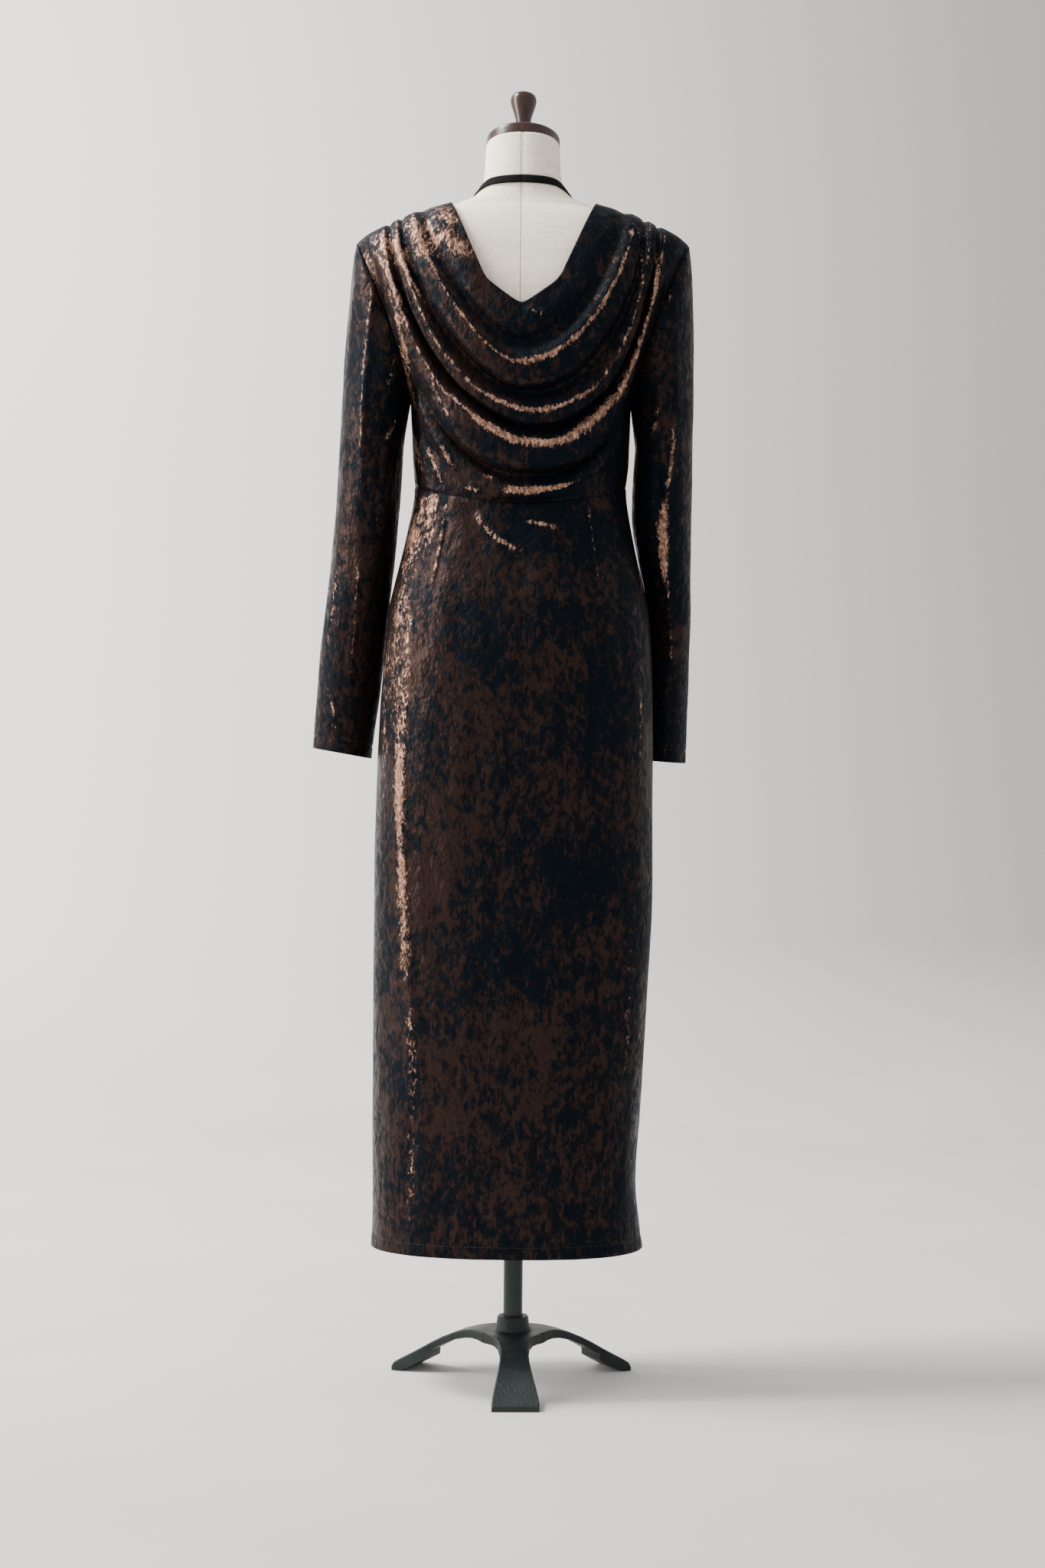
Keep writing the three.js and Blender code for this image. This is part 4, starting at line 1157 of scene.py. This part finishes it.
# The skirt
def skirt_points(facing, columns, count):
    rows = drape_rows if facing > 0 else front_rows
    waist = row_at(rows, len(rows.places) - 1)
    waist["edge"] = 3.0

    def level_row(z):
        fade = smoothstep(z, WAIST_Z - DIP_FADE_LENGTH, WAIST_Z)
        join = smoothstep(z, WAIST_Z - WAIST_JOIN, WAIST_Z)

        def curve(share, side):
            low = z - (WAIST_Z - waist["lowZ"]) * fade * hang(share, waist, side)
            half = lerp(section(low, side_name(side)), section(WAIST_Z, side_name(side)), join)
            return body_points(side * share * half, low, facing)

        return panel_row(curve, columns, facing)

    lines = [level_row(z) for z in np.linspace(body.places[0], WAIST_Z, count)[:-1]]
    top = panel_row(lambda share, side: hanging_curve(waist, share, side, facing), columns, facing)
    top[:, 2] -= SEAM_GAP
    return np.array(lines + [top])


def skirt(name, facing, columns, creases, darts, painted_highlights, seed):
    points = skirt_points(facing, columns, 260)
    last = len(points) - 1
    normals = panel_normals(points, last)
    across, up = points[..., 0], points[..., 2]
    rise = up - body.places[0]
    detail = crease_lift(across, up, creases)
    detail += ripple(across * 2.2, up * 0.5, seed, 90, 0.7)
    detail += ripple(across, up, seed + 1, 40, 0.25)
    detail *= inner_share(columns, 0.4) * smoothstep(WAIST_Z - WAIST_JOIN - up, -WAIST_JOIN, 10)
    if darts is not None:
        detail += crease_lift(across, up, darts)
    # The hem is turned up and sewn, so the cloth is a little pinched along its stitches.
    detail -= SKIRT_PINCH * bell(rise - HEM_DEPTH, HEM_PINCH_WIDTH)
    detail += seam_dip(points, "last_row", "sides")
    points = points + normals * detail[..., None]
    normals = panel_normals(points, last)
    # Painted light: more brown towards +X, the lit side, less towards -X, and less near the waist towards
    # -X.
    painted_side_light = 0.04 * smoothstep(across, 10, 110) - 0.02 * smoothstep(-across, 10, 110)
    painted_side_light = painted_side_light - 0.05 * smoothstep(up, 940, 1010) * smoothstep(-across, -60, 0)
    hem = int(np.argmin(np.abs(rise[:, 0] - HEM_DEPTH)))
    sewn = stitches(name + "_hem", points[hem], normals[hem])
    # The shell carries painted highlights along the listed lines.
    return velvet_shell(name, points, normals, painted_side_light, crease_lift(across, up, painted_highlights)), sewn


# The sleeves
def sleeve_cap_points(z, around, side, facing):
    """Points of a sleeve above its first ring, where its section is open towards the armhole."""
    ring = sleeve_rings[side].each()[0]
    outer = sleeve_outer.at(z, side_name(side))

    def armhole_depth(at):
        return np.abs(body_points(side * armhole_x(at, side), at, facing)[..., 1])

    blend = smoothstep(z, SLEEVE_TOP_Z, ARMHOLE_MID_Z)
    at_armhole = armhole_depth(z)
    low = lerp(ring["halfY"], SLEEVE_FULLNESS * armhole_depth(np.float64(ARMHOLE_MID_Z)), blend)
    depth = np.where(z >= ARMHOLE_MID_Z, SLEEVE_FULLNESS * at_armhole, low)
    below = np.clip((UNDERARM_Z - z) / (UNDERARM_Z - SLEEVE_TOP_Z), 0, 1)
    inner = lerp(armhole_x(z, side), ring["x"] - ring["halfX"], below)
    mouth = np.where((z > UNDERARM_Z) & (depth > 0), at_armhole / np.maximum(depth, 1e-6), 0)
    widest = np.pi - np.arcsin(np.minimum(1, mouth))
    half = (outer - inner) / (1 - np.cos(widest))
    turn = around * widest
    return np.stack([side * (outer - half + half * np.cos(turn)), facing * depth * np.sin(turn), z], -1)


def sleeve_grid(side):
    """A sleeve's points, from its cuff up to the armhole, and how far round each lies, in degrees."""
    columns, cap_rows, ring_rows = 96, 56, 150
    rings = sleeve_rings[side]
    last = len(rings.places) - 1
    outward = armhole_outward(side)
    q = np.linspace(0, last, ring_rows)
    ring = {name: rings.at(q, name) for name in rings.columns}
    lines = []
    for j in range(columns):
        turn = 2 * math.pi * j / columns
        facing = 1 if turn <= math.pi else -1
        around = min(turn, 2 * math.pi - turn) / math.pi
        start_z = armhole_point(1 - around, side, facing)[2]
        k = np.arange(cap_rows) / cap_rows
        z = lerp(start_z, SLEEVE_TOP_Z, k**CAP_PACKING)
        reach = 1 - np.arccos(np.clip(1 - 2 * armhole_rise(z), -1, 1)) / math.pi
        place = np.where(reach > 0, np.minimum(1, around / np.maximum(reach, 1e-9)), 0)
        cap = sleeve_cap_points(z, place, side, facing)
        cap -= outward * (ARMHOLE_LAP * (1 - k))[:, None]
        drop = CUFF_SLANT[side] * math.cos(turn) * smoothstep(q, last - CUFF_SLANT_ROWS, last)
        x = side * (ring["x"] + ring["halfX"] * math.cos(turn))
        tube = np.stack([x, ring["y"] + ring["halfY"] * math.sin(turn), ring["z"] + drop], -1)
        lines.append(np.concatenate([cap, tube]))
    points = np.array(lines).transpose(1, 0, 2)[::-1]
    turns = np.tile(np.arange(columns) * 360 / columns, (len(points), 1))
    if side < 0:
        points, turns = points[:, ::-1], turns[:, ::-1]
    return points, turns


def sleeve(side):
    points, turns = sleeve_grid(side)
    outward = armhole_outward(side)
    normals = sleeve_normals(points, outward)
    up = points[..., 2]
    pitch = math.pi * SLEEVE_RADIUS / 180
    detail = crease_lift(turns, up, sleeve_creases[side], pitch)
    detail += ripple(turns * pitch, up * 0.6, 21 + side, 60, 0.6)
    rows_up = np.arange(len(points))[:, None] / len(points)
    detail *= smoothstep(1 - rows_up, 0, 0.04)
    reached = run_along(points)
    detail -= CUFF_PINCH * bell(reached - HEM_DEPTH, HEM_PINCH_WIDTH)
    level = np.abs(normals[-1:, :, 1]) ** 2
    detail -= SEAM_ROLL * level * bell(reached[-1:] - reached, SEAM_ROLL_WIDTH)
    points = points + normals * detail[..., None]
    normals = sleeve_normals(points, outward)
    hem = int(np.argmin(np.abs(reached[:, 0] - HEM_DEPTH)))
    around = [np.vstack([lines[hem], lines[hem, :1]]) for lines in (points, normals)]
    name = "sleeve_" + side_name(side)
    sewn = stitches(name + "_hem", *around)
    # Painted highlights along the listed lines.
    painted_highlight = crease_lift(turns, up, sleeve_painted_highlights[side], pitch)
    # Painted light: a little more brown on the lit left sleeve, a little less on the right one.
    painted_side_light = np.full(up.shape, 0.01 * side)
    return velvet_shell(name, points, normals, painted_side_light, painted_highlight, True), sewn


def sleeve_normals(points, outward):
    normals = grid_normals(points, True)
    reach = np.maximum(0, normals[-1] @ outward)
    normals[-1] -= reach[:, None] * outward
    return unit(normals)


# The dress form
def form_ring(half, back, front, y, z, tip, plate, columns):
    turn = 2 * np.pi * np.arange(columns) / columns
    behind = np.sin(turn) >= -1e-9
    power = np.where(behind, 2 / SECTION_POWER[1], 2 / SECTION_POWER[-1])

    def reach(value):
        return np.sign(value) * np.abs(value) ** power

    depth = np.where(behind, back, front) * reach(np.sin(turn))
    x = np.clip(half * reach(np.cos(turn)), -plate, plate)
    return np.stack([x, y + depth * math.cos(tip), z + depth * math.sin(tip)], -1)


def body_form_ring(z, columns):
    at = min(z + FORM_LIFT, NECK_POINT_Z)
    high = smoothstep(z, ARMHOLE_MID_Z, SHOULDER_TIP_Z)
    inset = lerp(FORM_INSET[0], FORM_INSET[1], high)
    half = min(section(at, "left"), section(at, "right")) - inset
    plate = armhole_x(z, 1) - ARM_PLATE_INSET if z > UNDERARM_Z else NO_PLATE
    back, front = section(at, "back") - inset, section(at, "front") - inset
    return form_ring(half, back, front, 0, z, 0, plate, columns)


def dress_form():
    columns, body_rows, shoulder_rows, neck_rows = 160, 110, 26, 60
    body_heights = np.linspace(FORM_BOTTOM_Z, FORM_SHOULDER_Z, body_rows)
    shoulder_heights = np.linspace(FORM_SHOULDER_Z + 3, NECK_POINT_Z - 2, shoulder_rows)
    rings = [body_form_ring(z, columns) for z in np.concatenate([body_heights, shoulder_heights])]
    for q in np.linspace(0, len(neck_rings.places) - 1, neck_rows):
        row = {name: float(neck_rings.at(q, name)) for name in neck_rings.columns}
        tip = math.radians(row["tip"])
        depth = row["depth"]
        rings.append(form_ring(row["half"], depth, depth, row["y"], row["z"], tip, NO_PLATE, columns))
    rings = np.array(rings)
    # A seam runs up the middle of the form's back and front.
    groove = FORM_SEAM_DEPTH * bell(rings[..., 0], FORM_SEAM_WIDTH)
    rings = rings - grid_normals(rings, True) * groove[..., None]
    return loft("dress_form", rings, linen, "dress_form")


def form_tree(form):
    points = [v.co.copy() for v in form.data.vertices]
    return BVHTree.FromPolygons(points, [list(p.vertices) for p in form.data.polygons])


def neck_strap(form):
    tree = form_tree(form)
    columns, nearby = 160, 4
    last = strap_route.places[-1]

    def surface(turn, z):
        y = min(0.0, float(np.interp(z, neck_rings.columns["z"], neck_rings.columns["y"])))
        start = Vector(to_metres([0, y, z]))
        angle = math.radians(turn)
        far = start + Vector((math.sin(angle), math.cos(angle), 0)) * 0.5
        hit = tree.ray_cast(far, start - far)[0]
        return (np.array(hit) - AXIS) * 1000

    turns = np.linspace(last, -last, columns + 1)
    heights = strap_route.at(np.abs(turns), "z")
    middle = np.array([surface(t, z) for t, z in zip(turns, heights)])
    outward = [
        np.cross(
            surface(t - nearby, z) - surface(t + nearby, z),
            surface(t, z + nearby) - surface(t, z - nearby),
        )
        for t, z in zip(turns, heights)
    ]
    outward = unit(np.array(outward))
    run = np.empty_like(middle)
    run[1:-1] = middle[2:] - middle[:-2]
    run[0], run[-1] = middle[1] - middle[0], middle[-1] - middle[-2]
    across = unit(np.cross(outward, run))
    rows = []
    for share in np.linspace(-0.5, 0.5, 9):
        crown = STRAP_LIFT - STRAP_EDGE_DROP * (2 * share) ** 4
        rows.append(middle + across * share * STRAP_WIDTH + outward * crown)
    rows = np.array(rows)
    return shell("neck_strap", rows, grid_normals(rows, False), STRAP_THICKNESS, False, ribbon)


# Turned wood
CAP_RADIUS = 44.3
CAP_THICKNESS = 14.5
CAP_CROWN = 0.8
WOOD_GAP = 0.4
cap_outline = [
    (0, 0),
    (CAP_RADIUS - 1.2, 0),
    (CAP_RADIUS - 0.3, 0.3),
    (CAP_RADIUS, 1.2),
    (CAP_RADIUS, 10.5),
    (CAP_RADIUS - 0.4, 12.1),
    (CAP_RADIUS - 1.3, 13.3),
    (CAP_RADIUS - 2.8, 14.1),
    (CAP_RADIUS - 4.5, CAP_THICKNESS),
    (14, CAP_THICKNESS + CAP_CROWN),
    (0, CAP_THICKNESS + CAP_CROWN),
]
knob_outline = [
    (0, 0),
    (10.4, 0),
    (10.7, 0.8),
    (10.6, 1.8),
    (9.6, 2.6),
    (9.2, 3.4),
    (8.5, 9),
    (8.6, 17),
    (9.8, 26),
    (12.4, 35),
    (14.9, 43),
    (15.9, 48),
    (15.7, 51.5),
    (14.4, 54.6),
    (12, 56.1),
    (8, 56.8),
    (0, 57),
]


def level_ring(radius, z, segments):
    turn = 2 * np.pi * np.arange(segments) / segments
    return np.stack([radius * np.cos(turn), radius * np.sin(turn), np.full(segments, float(z))], -1)


def smooth_outline(outline, repeats):
    points = [np.array(p, float) for p in outline]
    for _ in range(repeats):
        finer = [points[0]]
        for a, b in zip(points[:-1], points[1:]):
            finer += [a * 0.8 + b * 0.2, a * 0.2 + b * 0.8]
        points = finer + [points[-1]]
    return points


def turned(name, outline, segments, height, material):
    """A turned piece set upright on the tipped top of the neck."""
    tip = math.radians(neck_rings.columns["tip"][-1])
    y, z = neck_rings.columns["y"][-1], neck_rings.columns["z"][-1]
    points = [p for p in smooth_outline(outline, 2) if p[0] > 0.05]
    rings = np.array([level_ring(radius, above + height, segments) for radius, above in points])
    turned_y = y + rings[..., 1] * math.cos(tip) - rings[..., 2] * math.sin(tip)
    turned_z = z + rings[..., 1] * math.sin(tip) + rings[..., 2] * math.cos(tip)
    rings = np.stack([rings[..., 0], turned_y, turned_z], -1)
    return loft(name, rings, material, name)


# Stand
POST_RADIUS = 11.4
POST_BOTTOM_Z = 52
POST_IN_FORM = 60


def post():
    top = FORM_BOTTOM_Z + POST_IN_FORM
    stations = [
        (POST_RADIUS - 1, POST_BOTTOM_Z),
        (POST_RADIUS, POST_BOTTOM_Z + 1),
        (POST_RADIUS, POST_BOTTOM_Z + 2),
        (POST_RADIUS, top - 2),
        (POST_RADIUS, top - 1),
        (POST_RADIUS - 1, top),
    ]
    rings = [level_ring(radius, z, 64) for radius, z in stations]
    return loft("post", rings, post_metal, "post")


# Every piece
bodice_back = draped_back()
bodice_front = plain_front()
skirt_back, back_hem = skirt("skirt_back", 1, 176, skirt_back_creases, skirt_darts, skirt_back_painted_highlights, 31)
skirt_front, front_hem = skirt("skirt_front", -1, 144, skirt_front_creases, None, skirt_front_painted_highlights, 47)
sleeve_left, left_cuff = sleeve(1)
sleeve_right, right_cuff = sleeve(-1)
form = dress_form()
strap = neck_strap(form)
turned("neck_cap", cap_outline, 96, WOOD_GAP, wood)
turned("cap_knob", knob_outline, 64, CAP_THICKNESS + CAP_CROWN + 2 * WOOD_GAP, wood)
post()
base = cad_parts["stand_base"]
for material_slot in base.material_slots:
    material_slot.material = cast_iron


# Backdrop
def paper_material():
    shader = Shader("backdrop_paper")
    cloud = shader.noise(shader.mapped(1, 1, 1), 3, 3)
    paper = shader.ramp(cloud, (0.3, (0.60, 0.585, 0.575)), (0.7, (0.64, 0.625, 0.615)))
    # The wall falls into shade towards the right of the photo.
    across = shader.calculate("MULTIPLY_ADD", shader.along("X"), 0.35, 0.5)
    dark, middle, light = (0.36, 0.355, 0.35), (0.55, 0.54, 0.535), (0.67, 0.655, 0.645)
    wall = shader.ramp(across, (0.05, dark), (0.5, middle), (0.9, light))
    high = shader.ramp(shader.along("Z"), (0.01, 0.0), (0.35, 1.0))
    shader.set({"Base Color": shader.mixed(high, paper, wall), "Roughness": 0.95, "Specular IOR Level": 0.1})
    return shader.material


def backdrop():
    """The floor and the wall behind it are one pale sweep."""
    half_width = 3.5
    bend, floor_front, wall_y, wall_top = 1.6, 4.2, -3.6, 5.2
    profile = [(floor_front, 0.0), (wall_y + bend, 0.0)]
    for k in range(1, 25):
        angle = math.pi / 2 * k / 24
        profile.append((wall_y + bend - bend * math.sin(angle), bend - bend * math.cos(angle)))
    profile.append((wall_y, wall_top))
    vertices = [(x, y, z) for y, z in profile for x in (-half_width, half_width)]
    faces = [(2 * i, 2 * i + 1, 2 * i + 3, 2 * i + 2) for i in range(len(profile) - 1)]
    mesh = bpy.data.meshes.new("backdrop")
    mesh.from_pydata(vertices, [], faces)
    mesh.polygons.foreach_set("use_smooth", np.ones(len(faces), bool))
    mesh.materials.append(paper_material())
    made = bpy.data.objects.new("backdrop", mesh)
    bpy.context.scene.collection.objects.link(made)


backdrop()


# Camera and light
def look_from(thing, place, target, roll=0.0):
    direction = Vector(target) - Vector(place)
    thing.location = place
    thing.rotation_mode = "QUATERNION"
    turn = direction.to_track_quat("-Z", "Y")
    thing.rotation_quaternion = turn @ Matrix.Rotation(roll, 4, "Z").to_quaternion()


IMAGE_HEIGHT = 2048
FOCAL_PIXELS = 3293
SENSOR_WIDTH = 36
CAMERA_X = -6
CAMERA_HEIGHT = 710
CAMERA_DISTANCE = 3000
CAMERA_ROLL = math.radians(0.5)
camera_data = bpy.data.cameras.new("camera")
camera_data.sensor_fit = "AUTO"
camera_data.sensor_width = SENSOR_WIDTH
camera_data.lens = SENSOR_WIDTH * FOCAL_PIXELS / IMAGE_HEIGHT
camera = bpy.data.objects.new("camera", camera_data)
bpy.context.scene.collection.objects.link(camera)
bpy.context.scene.camera = camera
camera_place = to_metres([CAMERA_X, CAMERA_DISTANCE, CAMERA_HEIGHT])
look_from(camera, camera_place, to_metres([CAMERA_X, 0, CAMERA_HEIGHT]), CAMERA_ROLL)


def area_light(name, place, target, size, power, colour):
    data = bpy.data.lights.new(name, "AREA")
    data.shape = "RECTANGLE"
    data.size, data.size_y = size
    data.energy = power
    data.color = colour
    light = bpy.data.objects.new(name, data)
    bpy.context.scene.collection.objects.link(light)
    look_from(light, place, target)


area_light("key", (2.6, 0.45, 1.7), (0, 0, 0.9), (0.5, 2.2), 120, (1.0, 0.96, 0.92))
area_light("top", (1.5, 0.0, 3.0), (0, 0, 1.1), (0.7, 0.7), 135, (1.0, 0.97, 0.94))
area_light("wall", (2.4, -1.2, 2.8), (1.7, -3.5, 1.9), (1.2, 2.4), 210, (1.0, 0.99, 0.98))

world = bpy.data.worlds.new("studio")
world.use_nodes = True
background = world.node_tree.nodes["Background"].inputs
background["Color"].default_value = (1.0, 0.985, 0.975, 1)
background["Strength"].default_value = 0.98
bpy.context.scene.world = world
